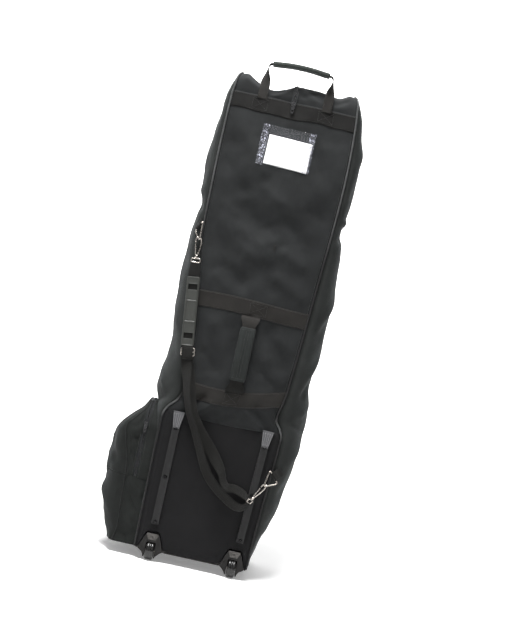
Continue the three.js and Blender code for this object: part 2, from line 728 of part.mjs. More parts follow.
function hookBody() {
  const points = along([
    v3(1.5, 0, 10), v3(3.5, 0, 18), v3(8, 0, 38), v3(8.6, 0, 50), v3(5.6, 0, 58.5), v3(0, 0, 61.5),
    v3(-6, 0, 58.5), v3(-8.6, 0, 51), v3(-7.6, 0, 46),
  ], 18);
  const wire = sweep(points, circle(1.5, 8), v3(0, 1, 0));
  const neck = lathe([[0, 7], [3.4, 7], [3.8, 9], [3, 13], [0, 14]], 12).rotateX(Math.PI / 2);
  return join(wire, neck);
}

function hookGate() {
  const points = [v3(-3.6, 0, 14.6), v3(-4.5, 0, 20), v3(-6, 0, 32), v3(-7.4, 0, 44)];
  return sweep(points, circle(1.2, 8), v3(0, 1, 0));
}

// A hook's group: its nose holds the ring near the ring's last corner, its axis points along `axis`,
// and `turn` is its turn about that axis from facing the back.
function addHook(side, [one, two, corner], axis, turn) {
  const inward = one.clone().sub(corner).normalize().add(two.clone().sub(corner).normalize());
  const nose = corner.clone().addScaledVector(inward.normalize(), RING_CLEAR);
  const up = axis.clone().normalize();
  const right = v3(0, 1, 0).cross(up).normalize();
  const deep = up.clone().cross(right);
  const group = new THREE.Group();
  group.matrixAutoUpdate = false;
  group.matrix.makeBasis(right, deep, up)
    .multiply(new THREE.Matrix4().makeRotationZ(THREE.MathUtils.degToRad(turn)))
    .setPosition(nose.addScaledVector(up, -HOOK_REACH));
  bag.add(group);
  add(`${side}_hook_body`, hookBody(), NICKEL(), group);
  add(`${side}_hook_gate`, hookGate(), NICKEL(), group);
  const eye = new THREE.Group();
  eye.rotation.z = -THREE.MathUtils.degToRad(turn);
  group.add(eye);
  add(`${side}_hook_eye`, hookEye(), NICKEL(), eye);
}

// Points of the strap's two runs, each with the direction that the webbing faces.
const BACKWARD = [0, -1, 0];
const MAIN_RUN = [
  [-160.2, -13.4, 786.4, BACKWARD], [-158.2, -13.3, 767, BACKWARD], [-156.2, -13.3, 751, BACKWARD],
  [-150.7, -13.3, 706, BACKWARD], [-145.2, -13.3, 661, BACKWARD], [-139.7, -13.3, 616, BACKWARD],
  [-134.2, -13.3, 571, BACKWARD], [-131.6, -13.6, 555, BACKWARD], [-129, -14.6, 540, BACKWARD],
  [-124.6, -17, 524, [-0.1, -1, 0]], [-119, -20, 506, [-0.3, -1, -0.1]],
  [-114, -22, 487, [-0.36, -1, -0.1]], [-109, -23, 466, [-0.3, -1, 0]],
  [-101, -24, 438, [-0.1, -1, 0]], [-91, -26, 409, BACKWARD], [-78, -27, 386, BACKWARD],
  [-63, -28, 362, BACKWARD], [-40, -30, 318, BACKWARD], [-20, -32, 278, [-0.2, -1, 0]],
  [-3, -33, 252, [-0.4, -1, -0.3]], [23, -34, 228, [-0.5, -1, -0.6]], [50, -34, 208, [-0.4, -1, -0.7]],
  [76, -33, 194, [0, -1, -0.8]], [93, -30.5, 190, [0.4, -0.9, -0.7]],
  [103, -28, 195, [0.5, -1, -0.3]], [109, -25.9, 204, [0, -1, 0]],
];
const RETURN_RUN = [
  [110, -16.7, 207.5, [0, -1, 0]], [101, -16.9, 219, [-0.1, -1, 0.1]],
  [86, -18.5, 228, [-0.1, -1, 0.4]], [66, -23, 234, [0, -0.8, 0.8]],
  [48, -23, 233, [0.2, -0.9, 0.6]], [36, -22, 244, [0.6, -1, 0.3]],
  [22, -21.5, 272, [0.3, -1, 0.1]], [2, -21, 296, BACKWARD], [-21, -20, 325, BACKWARD],
  [-48, -19.5, 354, BACKWARD], [-68, -19, 379, BACKWARD], [-83, -18, 402, BACKWARD],
  [-94, -16, 432, BACKWARD], [-103, -12, 464, BACKWARD], [-110, -10, 488, BACKWARD],
  [-117, -9, 510, BACKWARD], [-123, -9, 530, BACKWARD], [-127.5, -9.2, 548, BACKWARD],
];

function strapRun(route) {
  const path = route.map(([x, y, z]) => v3(x, y, z));
  const facing = route.map(([, , , face]) => v3(...face).normalize());
  return sweep(path, strip(STRAP_WIDTH, WEBBING), facing);
}

// The pad is a sleeve on the webbing, with a window in its face near each end.
function shoulderPad() {
  const half = PAD.width / 2;
  const length = PAD.length / 2;
  const outer = prismY([
    [-half, 4 - length], [4 - half, -length], [half - 4, -length], [half, 4 - length],
    [half, length - 4], [half - 4, length], [4 - half, length], [-half, length - 4],
  ], -3.6, 3.4);
  const inside = block(1 - half, half - 1, -1.5, 1.7, -length - 9, length + 9);
  const windows = [-1, 1].map((sign) => block(-12, 12, -9, 0, sign * 64 - 8, sign * 64 + 8));
  const ribs = [-20, -10, 10, 20].map((z) => block(-13, 13, -5, -3.1, z - 1, z + 1));
  return cut(outer, inside, ...windows, ...ribs);
}

function triGlide() {
  const outer = prismY([
    [-19, -9], [-17, -11], [17, -11], [19, -9], [19, 9], [17, 11], [-17, 11], [-19, 9],
  ], -1.4, 1.4);
  const slots = [-1, 1].map((sign) => block(-15.4, 15.4, -5, 5, sign * 5 - 3, sign * 5 + 3));
  return cut(outer, ...slots);
}

function buildStrap() {
  const rings = {
    left: [v3(-164, -12, 899), v3(-180, 15, 869), v3(-162, -17, 847)],
    right: [v3(147.6, -18, 301), v3(175, -11, 269.5), v3(139.5, -27, 256)],
  };
  const anchors = { left: v3(-164.5, -3.5, 924), right: v3(160, -7, 322) };
  for (const side of ['left', 'right']) {
    add(`${side}_strap_ring`, triangleRing(rings[side]), NICKEL());
    add(`${side}_strap_tab`, ringTab(rings[side], anchors[side]), WEB());
  }
  addHook('left', rings.left, v3(-4, 0.6, 62), 30);
  addHook('right', rings.right, v3(34, -1, 55), -60);
  add('strap_main_run', strapRun(MAIN_RUN), WEB());
  add('strap_return_run', strapRun(RETURN_RUN), WEB());
  const pad = add('shoulder_pad', shoulderPad(), GRIP());
  pad.position.set(-145.2, -13.3, 661);
  pad.rotation.y = -0.122;
  const glide = add('tri_glide', triGlide(), NICKEL());
  glide.position.set(-131.4, -18, 556);
  glide.rotation.y = -0.14;
}

// ---------------------------------------------------------------- shoe pocket on the left side

// The pocket's outline at a height: X of its outer edges at the two ends, and of its face's middle.
const POCKET_EDGE = profile([
  [31, -221], [66, -214], [130, -218], [204, -226], [300, -245], [350, -240], [384, -222], [404, -201],
]);
const POCKET_FACE = profile([
  [31, -228], [75, -246], [120, -260], [217, -272], [282, -268], [341, -256], [384, -228], [404, -205],
]);

// How far the pocket's domed top has drawn in from its ends at a height.
const domeInset = (z) => 72 * Math.max((z - POCKET.domeZ) / (POCKET.topZ - POCKET.domeZ), 0) ** 1.8;

// A place on the pocket's wall: u runs from one end round the outer face to the other end.
function pocketPoint(u, z, rootX) {
  const edge = POCKET_EDGE(z);
  const face = POCKET_FACE(z);
  const round = 12;
  const back = POCKET.back + domeInset(z);
  const front = POCKET.front - domeInset(z);
  if (u < 0.2) return v3(mix(rootX, edge + 4, u / 0.2), back, z);
  if (u > 0.8) return v3(mix(rootX, edge + 4, (1 - u) / 0.2), front, z);
  const t = (u - 0.2) / 0.6;
  return v3(edge - (edge - face) * bulge(t, 0.7), mix(back + round / 3, front - round / 3, t), z);
}

function pocketTub() {
  const walls = sheet((u, v) => pocketPoint(u, mix(31, POCKET.seamZ, v), POCKET.rootX), 20, 5, 3);
  const { back, front, rootX } = POCKET;
  const floor = prism([
    [rootX, back + 1], [-217, back + 1], [-225, 80], [-225, 180], [-217, front - 1], [rootX, front - 1],
  ], 3).rotateX(-Math.PI / 2).translate(0, 0, 31);
  return join(walls, floor);
}

// The pocket's fixed frame beside the bag, from the seam up over the top, with the zip's inner tape.
function pocketRim() {
  const { back, front, seamZ, rootX, zipX } = POCKET;
  const arch = (foot, inside) => {
    const rise = [338, 352, 366, 380, 393, 402].map((z) => [back + domeInset(z) + inside, z - inside]);
    const left = [[back + inside, foot], ...rise];
    return [...left, ...left.toReversed().map(([y, z]) => [back + front - y, z])];
  };
  const outer = prismX(arch(seamZ + GAP, 0), zipX + 0.5, rootX);
  const inner = prismX(arch(seamZ - 9, 3), zipX - 9, rootX + 9);
  return cut(outer, inner);
}

function pocketDoor() {
  const surface = (u, v) => pocketPoint(u, mix(POCKET.seamZ + 2, POCKET.topZ, v ** 0.8), POCKET.zipX);
  return sheet(surface, 20, 9, 3);
}

function buildPocket() {
  add('pocket_tub', pocketTub(), FABRIC());
  add('pocket_rim', pocketRim(), FABRIC());
  add('pocket_door', pocketDoor(), FABRIC());
  const at = v3(POCKET.zipX, POCKET.back - GAP, 346);
  addZipEnds('pocket_zip', { length: 12, width: 9, height: 3 }, at, 22);
}

buildShell();
buildFront();
buildRails();
buildWheels();
buildWindow();
buildTopHandle();
buildCarryHandle();
buildStrap();
buildPocket();

export default bag;
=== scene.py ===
"""The looks of a golf travel case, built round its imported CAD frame. Metres, +Z up.

Places are in the bag's own coordinates, X = 0 on the centre zip, Y = 0 on the back seams and
Z = 0 on the floor; in_frame() turns them into the CAD frame. The back faces -Y.
"""
import math

import bpy
import numpy as np
from mathutils import Matrix, Vector


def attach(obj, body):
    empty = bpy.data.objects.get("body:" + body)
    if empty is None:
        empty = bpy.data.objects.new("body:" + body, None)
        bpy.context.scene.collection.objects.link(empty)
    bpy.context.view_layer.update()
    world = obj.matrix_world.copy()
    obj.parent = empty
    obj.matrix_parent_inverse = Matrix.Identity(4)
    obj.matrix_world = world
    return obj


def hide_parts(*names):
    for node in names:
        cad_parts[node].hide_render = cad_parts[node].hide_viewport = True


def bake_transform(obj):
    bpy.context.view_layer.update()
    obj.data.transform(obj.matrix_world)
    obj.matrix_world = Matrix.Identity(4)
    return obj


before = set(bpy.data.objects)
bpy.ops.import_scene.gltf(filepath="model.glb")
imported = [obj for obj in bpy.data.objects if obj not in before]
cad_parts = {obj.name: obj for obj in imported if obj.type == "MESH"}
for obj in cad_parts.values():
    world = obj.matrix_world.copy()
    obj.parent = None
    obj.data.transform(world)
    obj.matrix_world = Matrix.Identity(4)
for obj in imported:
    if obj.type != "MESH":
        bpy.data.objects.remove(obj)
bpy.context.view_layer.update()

# ------------------------------------------------------------------ driving sizes

BAG_X, BAG_Y = 0.0295, -0.132
DEPTH = 0.292
FRONT_X = 0.160
FRONT_EDGE_Y = 0.2895
FLOOR_GAP = 0.028
BOARD_TOP = 0.398
HOOD_SEAM = 1.253
HOOD_FRONT = 1.243
CLOTH = 0.0022
BOARD_CLOTH = 0.0016
SEAM_GAP = 0.0018
BAND = 0.042
WEBBING = 0.0016
STRAP = 0.030
PIPING_R = 0.0024
AXLE_Y, AXLE_Z = 0.006, 0.025
BACKWARD, FORWARD = (0, -1, 0), (0, 1, 0)
WHEELS = {"left": -0.115, "right": 0.104}
SIDES = {"left": -1, "right": 1}


def in_frame(points):
    """Points in the bag's coordinates, as an array in the CAD frame."""
    return np.asarray(points, float) + np.array([BAG_X, BAG_Y, 0.0])


# ------------------------------------------------------------------ curves and outlines

def profile(knots):
    """A smooth function through (where, value) knots, level beyond its ends."""
    x, y = np.array(knots, float).T
    before = np.maximum(np.arange(len(x)) - 1, 0)
    after = np.minimum(np.arange(len(x)) + 1, len(x) - 1)
    slope = (y[after] - y[before]) / (x[after] - x[before])

    def value(at):
        t = np.clip(at, x[0], x[-1])
        i = np.clip(np.searchsorted(x, t, side="right") - 1, 0, len(x) - 2)
        h = x[i + 1] - x[i]
        s = (t - x[i]) / h
        back = 1 - s
        low = y[i] * (1 + 2 * s) * back * back + slope[i] * h * s * back * back
        high = y[i + 1] * (3 - 2 * s) * s * s - slope[i + 1] * h * s * s * back
        return low + high

    return value


def bulge(t, power):
    """From 0 to 1 and back over t = 0 to 1, fuller for a smaller power."""
    return np.maximum(np.sin(np.pi * np.clip(t, 0, 1)), 0) ** power


def mix(a, b, t):
    return a + (b - a) * t


def ease(t):
    t = np.clip(t, 0, 1)
    return t * t * (3 - 2 * t)


def soft_noise(a, b, size, seed):
    """Smooth noise from -1 to 1 over two coordinates, with features of about that size."""
    table = np.random.default_rng(seed).uniform(-1, 1, (64, 64))
    s, t = a / size, b / size
    i, j = np.floor(s).astype(int), np.floor(t).astype(int)
    fs, ft = ease(s - i), ease(t - j)
    low = mix(table[i % 64, j % 64], table[(i + 1) % 64, j % 64], fs)
    high = mix(table[i % 64, (j + 1) % 64], table[(i + 1) % 64, (j + 1) % 64], fs)
    return mix(low, high, ft)


def folds(a, b, ridges):
    """The height of soft folds in cloth: each runs from one point to another, fades at its ends and
    has a width and a height."""
    total = np.zeros(np.broadcast(a, b).shape)
    for a0, b0, a1, b1, width, height in ridges:
        length = math.hypot(a1 - a0, b1 - b0)
        ua, ub = (a1 - a0) / length, (b1 - b0) / length
        along = ((a - a0) * ua + (b - b0) * ub) / length
        off = (a - a0) * ub - (b - b0) * ua
        ends = np.exp(-np.maximum(np.abs(along - 0.5) - 0.35, 0) ** 2 / 0.045)
        total = total + height * ends * np.exp(-(off / width) ** 2)
    return total


SEAM = {
    "left": profile([
        (0.031, -0.156), (0.380, -0.159), (0.405, -0.150), (0.430, -0.128), (0.460, -0.119),
        (0.600, -0.124), (0.780, -0.150), (0.880, -0.161), (1.245, -0.163), (1.300, -0.148),
    ]),
    "right": profile([
        (0.031, 0.143), (0.150, 0.146), (0.385, 0.158), (0.408, 0.150), (0.430, 0.136),
        (0.500, 0.147), (0.777, 0.164), (1.060, 0.177), (1.245, 0.171), (1.300, 0.158),
    ]),
}
WIDEST = {
    "left": profile([
        (0.031, -0.166), (0.300, -0.170), (0.405, -0.184), (0.443, -0.195), (0.464, -0.195),
        (0.505, -0.191), (0.546, -0.187), (0.587, -0.184), (0.629, -0.190), (0.690, -0.195),
        (0.752, -0.200), (0.814, -0.198), (0.876, -0.195), (0.917, -0.190), (0.958, -0.185),
        (0.979, -0.188), (1.000, -0.192), (1.061, -0.193), (1.123, -0.192), (1.164, -0.190),
        (1.206, -0.185), (1.247, -0.181), (1.288, -0.173), (1.309, -0.166),
    ]),
    "right": profile([
        (0.031, 0.149), (0.052, 0.153), (0.072, 0.159), (0.093, 0.163), (0.114, 0.169), (0.134, 0.176),
        (0.155, 0.182), (0.186, 0.193), (0.237, 0.200), (0.278, 0.208), (0.320, 0.212), (0.381, 0.215),
        (0.443, 0.218), (0.484, 0.214), (0.526, 0.208), (0.567, 0.210), (0.629, 0.216), (0.690, 0.218),
        (0.752, 0.221), (0.794, 0.218), (0.855, 0.215), (0.897, 0.212), (0.927, 0.207), (0.958, 0.197),
        (0.979, 0.202), (1.010, 0.206), (1.061, 0.211), (1.123, 0.211), (1.164, 0.208), (1.206, 0.199),
        (1.247, 0.192), (1.267, 0.187), (1.288, 0.180), (1.309, 0.171),
    ]),
}
BACK_SWELL = profile([
    (0.400, 0.003), (0.560, 0.012), (0.760, 0.015), (1.000, 0.014), (1.210, 0.008), (1.300, 0.004),
])
BACK_ROLL = profile([
    (0.388, -0.001), (0.400, 0.0015), (0.418, 0.0065), (0.438, 0.0115), (0.455, 0.0125),
    (0.500, 0.0085), (0.560, 0.0035), (0.660, 0.0),
])
# Height of the seam that runs over the hood's corner to the front, at a depth.
CREST = profile([
    (0.0, 1.270), (0.003, 1.285), (0.011, 1.298), (0.030, 1.3065), (0.065, 1.3060), (0.135, 1.3030),
    (0.215, 1.3010), (0.270, 1.289), (0.289, 1.262),
])
# How far the seam over the corner leans in from the back seam's line, at a height.
CREST_LEAN = profile([(1.262, 0.0), (1.285, 0.0015), (1.298, 0.006), (1.3065, 0.013)])


def between_seams(z, inset):
    """The X of a back panel's two edges at a height, so far inside the seams."""
    return SEAM["left"](z) + inset, SEAM["right"](z) - inset


def crest_x(side, y, z=None):
    """The X of the seam over the hood's corner at a depth."""
    height = CREST(y) if z is None else z
    back = SEAM[side](1.262) - SIDES[side] * CREST_LEAN(height) * (1 - ease(y / DEPTH))
    return mix(back, SIDES[side] * (FRONT_X - 0.006), ease(y / DEPTH))


BACK_FOLDS = [
    (-0.105, 1.005, 0.005, 0.900, 0.034, -0.0042), (-0.12, 0.905, 0.02, 0.835, 0.030, 0.0034),
    (0.03, 0.95, 0.145, 0.865, 0.028, -0.0032), (0.02, 1.06, 0.15, 1.01, 0.034, 0.0026),
    (-0.14, 1.17, -0.03, 1.045, 0.026, 0.0028), (-0.15, 1.07, -0.07, 0.99, 0.020, -0.0022),
    (0.10, 1.16, 0.165, 1.05, 0.020, 0.0024), (-0.10, 0.80, -0.02, 0.755, 0.020, -0.0028),
    (0.05, 0.80, 0.145, 0.745, 0.018, 0.0026), (-0.085, 0.65, -0.03, 0.575, 0.022, 0.0026),
    (0.055, 0.655, 0.13, 0.560, 0.024, -0.0030), (0.07, 0.585, 0.138, 0.520, 0.018, 0.0028),
    (-0.095, 0.57, -0.045, 0.515, 0.017, -0.0024), (0.06, 0.545, 0.135, 0.500, 0.010, -0.0018),
    (-0.108, 0.400, -0.062, 0.452, 0.010, -0.0040), (-0.075, 0.398, -0.035, 0.440, 0.009, 0.0028),
    (0.128, 0.402, 0.078, 0.450, 0.011, -0.0042), (0.100, 0.399, 0.050, 0.432, 0.009, 0.0030),
    (-0.02, 0.395, 0.03, 0.425, 0.012, -0.0018), (0.005, 0.925, 0.060, 0.872, 0.017, -0.0016),
    (0.055, 0.868, 0.125, 0.830, 0.016, 0.0016), (-0.010, 0.868, 0.045, 0.895, 0.015, 0.0012),
    (0.065, 0.945, 0.090, 0.885, 0.016, -0.0014), (-0.070, 0.885, -0.005, 0.845, 0.015, -0.0012),
    (-0.135, 0.960, -0.080, 0.935, 0.012, 0.0010), (0.095, 0.985, 0.150, 0.960, 0.014, -0.0012),
    (-0.030, 1.020, 0.030, 0.985, 0.014, 0.0010), (-0.110, 0.770, -0.060, 0.740, 0.012, 0.0010),
    (0.090, 0.640, 0.140, 0.610, 0.012, 0.0012), (-0.100, 0.490, -0.050, 0.510, 0.012, 0.0010),
]


def back_y(x, z):
    """The upper back panel's Y, with its swell, folds and the roll of cloth over the board's top."""
    left, right = between_seams(z, 0.004)
    across = np.clip(2 * (x - left) / (right - left) - 1, -1, 1)
    inside = 1 - across ** 2
    swell = BACK_SWELL(z) * inside
    roll = BACK_ROLL(z) * inside ** 0.5
    ripple = 0.0045 * soft_noise(x, z, 0.066, 3) + 0.0016 * soft_noise(x, z, 0.028, 4)
    return -swell - roll - (2.5 * folds(x, z, BACK_FOLDS) + ripple) * inside ** 0.5


# ------------------------------------------------------------------ meshes

def piece(name, points, faces, look, slot, body="root", uv=None, smooth=True):
    """A mesh from points in the bag's coordinates, which rides on a CAD body."""
    mesh = bpy.data.meshes.new(name)
    mesh.from_pydata(in_frame(points).tolist(), [], faces)
    mesh.materials.append(look)
    if uv is not None:
        layer = mesh.uv_layers.new(name="UVMap")
        loops = np.zeros(len(mesh.loops), np.int32)
        mesh.loops.foreach_get("vertex_index", loops)
        layer.data.foreach_set("uv", np.asarray(uv, np.float32)[loops].ravel())
    mesh.polygons.foreach_set("use_smooth", [smooth] * len(mesh.polygons))
    mesh.update()
    made = bpy.data.objects.new(name, mesh)
    bpy.context.scene.collection.objects.link(made)
    if body:
        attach(made, body)
    return made


def steps_along(points, axis):
    """The distance along rows or columns of a grid of points."""
    step = np.linalg.norm(np.diff(points, axis=axis), axis=2)
    start = np.zeros_like(np.take(step, [0], axis=axis))
    return np.concatenate([start, np.cumsum(step, axis=axis)], axis=axis)


def grid(name, surface, columns, rows, look, slot, thickness=0.0, closed=False, keep=None,
         along_u=False, **kind):
    """A sheet: surface(u, v) gives its points, and thickness goes in from its face. A closed one
    joins up round u, keep(u, v) leaves holes, and along_u turns the cloth's threads."""
    width = columns if closed else columns + 1
    across = np.arange(width) / columns
    u, v = np.meshgrid(across, np.linspace(0, 1, rows + 1))
    points = np.stack(np.broadcast_arrays(*surface(u, v)), axis=2)
    flat = [steps_along(points, 1), steps_along(points, 0)]
    uv = np.stack(flat[::-1] if along_u else flat, axis=2).reshape(-1, 2)
    faces = []
    for r in range(rows):
        for c in range(columns):
            if keep is None or keep((c + 0.5) / columns, (r + 0.5) / rows):
                d = (c + 1) % width
                faces.append((r * width + c, r * width + d, (r + 1) * width + d,
                              (r + 1) * width + c))
    made = piece(name, points.reshape(-1, 3), faces, look, slot, uv=uv, **kind)
    if thickness:
        solid = made.modifiers.new("thickness", "SOLIDIFY")
        solid.thickness = abs(thickness)
        solid.offset = -1 if thickness > 0 else 1
    return made


def distances(points):
    """How far along a path each of its points is."""
    return np.concatenate([[0], np.cumsum(np.linalg.norm(np.diff(points, axis=0), axis=1))])


def point_at(values, along, where):
    """A path's place, or another vector that goes with it, at a distance along the path."""
    return np.array([np.interp(where, along, values[:, k]) for k in range(3)])


def smooth_path(points, step):
    """Evenly spaced rows on a smooth curve through the given ones. Columns past the third follow."""
    rows = np.array(points, float)
    along = distances(rows[:, :3])
    at = np.linspace(0, along[-1], max(2, math.ceil(along[-1] / step) + 1))
    columns = [profile(list(zip(along, rows[:, k])))(at) for k in range(rows.shape[1])]
    return np.stack(columns, axis=1)


def unit(v):
    v = np.asarray(v, float)
    return v / np.maximum(np.linalg.norm(v, axis=-1, keepdims=True), 1e-12)


def round_section(radius, sides=12):
    a = np.arange(sides) * 2 * math.pi / sides
    return np.stack([radius * np.cos(a), radius * np.sin(a)], axis=1)


def flat_section(width, thickness, corner=0.45):
    """Webbing's section: flat faces with round edges."""
    half, deep = width / 2, thickness / 2
    edge = corner * thickness
    line = np.linspace(-half + edge, half - edge, 7)
    top = [(x, deep) for x in line[::-1]]
    bottom = [(x, -deep) for x in line]
    return np.array(bottom + [(half, -deep * 0.4), (half, deep * 0.4)] + top
                    + [(-half, deep * 0.4), (-half, -deep * 0.4)])


def sweep(name, path, section, facing, look, slot, closed=False, taper=None, **kind):
    """A section swept along a path. `facing` is where the section's second axis points."""
    points = np.asarray(path, float)
    count, sides = len(points), len(section)
    if closed:
        tangent = unit(np.roll(points, -1, axis=0) - np.roll(points, 1, axis=0))
    else:
        tangent = unit(np.gradient(points, axis=0))
    face = np.broadcast_to(np.asarray(facing, float), points.shape)
    side = unit(np.cross(tangent, face))
    up = np.cross(side, tangent)
    size = np.ones(count) if taper is None else np.asarray(taper, float)
    rings = (points[:, None] + side[:, None] * (section[None, :, 0:1] * size[:, None, None])
             + up[:, None] * (section[None, :, 1:2] * size[:, None, None]))
    last = count if closed else count - 1
    faces = []
    for r in range(last):
        n = (r + 1) % count
        for i in range(sides):
            j = (i + 1) % sides
            faces.append((r * sides + i, n * sides + i, n * sides + j, r * sides + j))
    if not closed:
        faces.append(tuple(range(sides)))
        faces.append(tuple(reversed(range((count - 1) * sides, count * sides))))
    uv = np.stack(np.meshgrid(distances(section), distances(points)), axis=2).reshape(-1, 2)
    return piece(name, rings.reshape(-1, 3), faces, look, slot, uv=uv, **kind)


def joined(name, solids, look, slot, **kind):
    """One piece from many small closed solids, each (points, faces)."""
    points, faces, base = [], [], 0
    for some_points, some_faces in solids:
        points.append(np.asarray(some_points, float))
        faces += [tuple(base + i for i in face) for face in some_faces]
        base += len(some_points)
    return piece(name, np.concatenate(points), faces, look, slot, **kind)


def capsule(start, end, out, width, height):
    """A stitch or tooth: a low rounded bar from start to end, standing `height` along out."""
    start, end, out = (np.asarray(p, float) for p in (start, end, out))
    run = end - start
    side = unit(np.cross(run, out)) * width / 2
    points, faces = [], []
    for t, size, lift in ((0.0, 0.45, -0.3), (0.22, 1.0, 0.5), (0.78, 1.0, 0.5), (1.0, 0.45, -0.3)):
        middle = start + run * t + out * height * lift
        for a in range(6):
            c, s = math.cos(a * math.pi / 3), math.sin(a * math.pi / 3)
            points.append(middle + (side * c + out * height * 0.5 * s) * size)
    for r in range(3):
        for i in range(6):
            j = (i + 1) % 6
            faces.append((r * 6 + i, r * 6 + j, (r + 1) * 6 + j, (r + 1) * 6 + i))
    faces.append(tuple(reversed(range(6))))
    faces.append(tuple(range(18, 24)))
    return points, faces


def stitches(path, out, pitch=0.0036, share=0.72, width=0.0008, height=0.0008):
    """The stitches along a path, as solids for joined()."""
    path = np.asarray(path, float)
    rows = np.hstack([path, np.broadcast_to(np.asarray(out, float), path.shape)])
    rows = smooth_path(rows, 0.001) if len(rows) > 2 else rows
    line, outs = rows[:, :3], rows[:, 3:]
    along = distances(line)
    at = np.arange(pitch * 0.2, along[-1] - pitch * share, pitch)
    return [capsule(point_at(line, along, s), point_at(line, along, s + pitch * share),
                    unit(point_at(outs, along, s)), width, height) for s in at]


# ------------------------------------------------------------------ materials

class Look:
    """A material and short ways to add nodes to it."""

    def __init__(self, name, color, roughness, **sockets):
        self.material = bpy.data.materials.new(name)
        self.material.use_nodes = True
        self.tree = self.material.node_tree
        self.shader = self.tree.nodes["Principled BSDF"]
        self.color = color
        self.put(self.shader, "Base Color", (*color, 1))
        self.put(self.shader, "Roughness", roughness)
        for key, value in sockets.items():
            self.put(self.shader, key.replace("_", " ").title().replace("Ior", "IOR"), value)

    def put(self, node, key, value):
        socket = node.inputs[key]
        if isinstance(value, bpy.types.NodeSocket):
            self.tree.links.new(value, socket)
        else:
            socket.default_value = value

    def add(self, kind, inputs, **settings):
        node = self.tree.nodes.new(kind)
        for key, value in settings.items():
            setattr(node, key, value)
        for key, value in inputs.items():
            self.put(node, key, value)
        return node

    def math(self, operation, a, b=0.0):
        return self.add("ShaderNodeMath", {0: a, 1: b}, operation=operation).outputs[0]

    def where(self, kind):
        return self.add("ShaderNodeTexCoord", {}).outputs[kind]

    def parts(self, vector):
        return self.add("ShaderNodeSeparateXYZ", {0: vector}).outputs

    def noise(self, scale, detail=2.0, where=None, rough=0.5):
        coordinates = where if where is not None else self.where("Object")
        inputs = {"Vector": coordinates, "Scale": scale, "Detail": detail, "Roughness": rough}
        return self.add("ShaderNodeTexNoise", inputs).outputs["Fac"]

    def stretched(self, vector, scale):
        return self.add("ShaderNodeMapping", {"Vector": vector, "Scale": scale}).outputs[0]

    def spread(self, value, low, high, to_low=0.0, to_high=1.0):
        inputs = {"Value": value, "From Min": low, "From Max": high,
                  "To Min": to_low, "To Max": to_high}
        return self.add("ShaderNodeMapRange", inputs).outputs[0]

    def tint(self, share, low, high):
        """Base colour between two, by share."""
        node = self.add("ShaderNodeMix", {0: share}, data_type="RGBA")
        self.put(node, 6, low if isinstance(low, bpy.types.NodeSocket) else (*low, 1))
        self.put(node, 7, high if isinstance(high, bpy.types.NodeSocket) else (*high, 1))
        return node.outputs[2]

    def dark(self, amount):
        return tuple(c * amount for c in self.color)

    def paint(self, color):
        self.put(self.shader, "Base Color", color)

    def bump(self, height, strength, distance, before=None):
        inputs = {"Height": height, "Strength": strength, "Distance": distance}
        if before is not None:
            inputs["Normal"] = before
        normal = self.add("ShaderNodeBump", inputs).outputs[0]
        self.put(self.shader, "Normal", normal)
        return normal


def threads(look, pitch_u, pitch_v):
    """Height of a plain weave over the cloth's own metres."""
    x, y, _ = look.parts(look.where("UV"))
    warp = look.math("SINE", look.math("MULTIPLY", x, 2 * math.pi / pitch_u))
    weft = look.math("SINE", look.math("MULTIPLY", y, 2 * math.pi / pitch_v))
    return look.math("MULTIPLY", warp, weft)


def woven(name, color, pitch=0.0011, relief=0.35, sheen=0.06, cloud=0.28, roughness=0.82):
    """Coarse woven polyester: threads, slubs, and patches where the cloth is rubbed."""
    look = Look(name, color, roughness, sheen_weight=sheen, sheen_roughness=0.45,
                sheen_tint=(0.80, 0.86, 0.88, 1), specular_ior_level=0.16)
    weave = threads(look, pitch, pitch)
    slub = look.noise(900, 3)
    patchy = look.spread(look.noise(13, 6, rough=0.62), 0.34, 0.68)
    tone = look.tint(patchy, look.dark(1 - cloud), look.dark(1 + cloud * 1.3))
    fleck = look.tint(look.spread(look.noise(1600, 2), 0.35, 0.8), look.dark(0.75), look.dark(1.5))
    mixed = look.tint(0.3, tone, fleck)
    look.paint(mixed)
    height = look.math("ADD", look.math("MULTIPLY", weave, 0.5), slub)
    look.bump(height, relief, 0.00035)
    return look.material


def webbing(name, color, relief=0.6):
    """Flat polypropylene webbing: cords along it, crossed by a fine herringbone."""
    look = Look(name, color, 0.78, sheen_weight=0.05, sheen_roughness=0.4, specular_ior_level=0.2)
    x, y, _ = look.parts(look.where("UV"))
    cords = look.math("SINE", look.math("MULTIPLY", x, 2 * math.pi / 0.0020))
    lean = look.math("MULTIPLY", cords, 0.9)
    picks = look.math("SINE", look.math("ADD", look.math("MULTIPLY", y, 2 * math.pi / 0.0017), lean))
    height = look.math("ADD", look.math("MULTIPLY", cords, 0.6), picks)
    # Painted shade: the webbing is coloured darker in the grooves between its cords and lighter on
    # their tops, by the weave's height.
    shade = look.spread(height, -1.5, 1.5)
    rubbed = look.spread(look.noise(38, 3), 0.35, 0.75)
    look.paint(look.tint(0.45, look.tint(shade, look.dark(0.72), look.dark(1.22)),
                         look.tint(rubbed, look.dark(0.85), look.dark(1.3))))
    look.bump(height, relief, 0.0004)
    return look.material


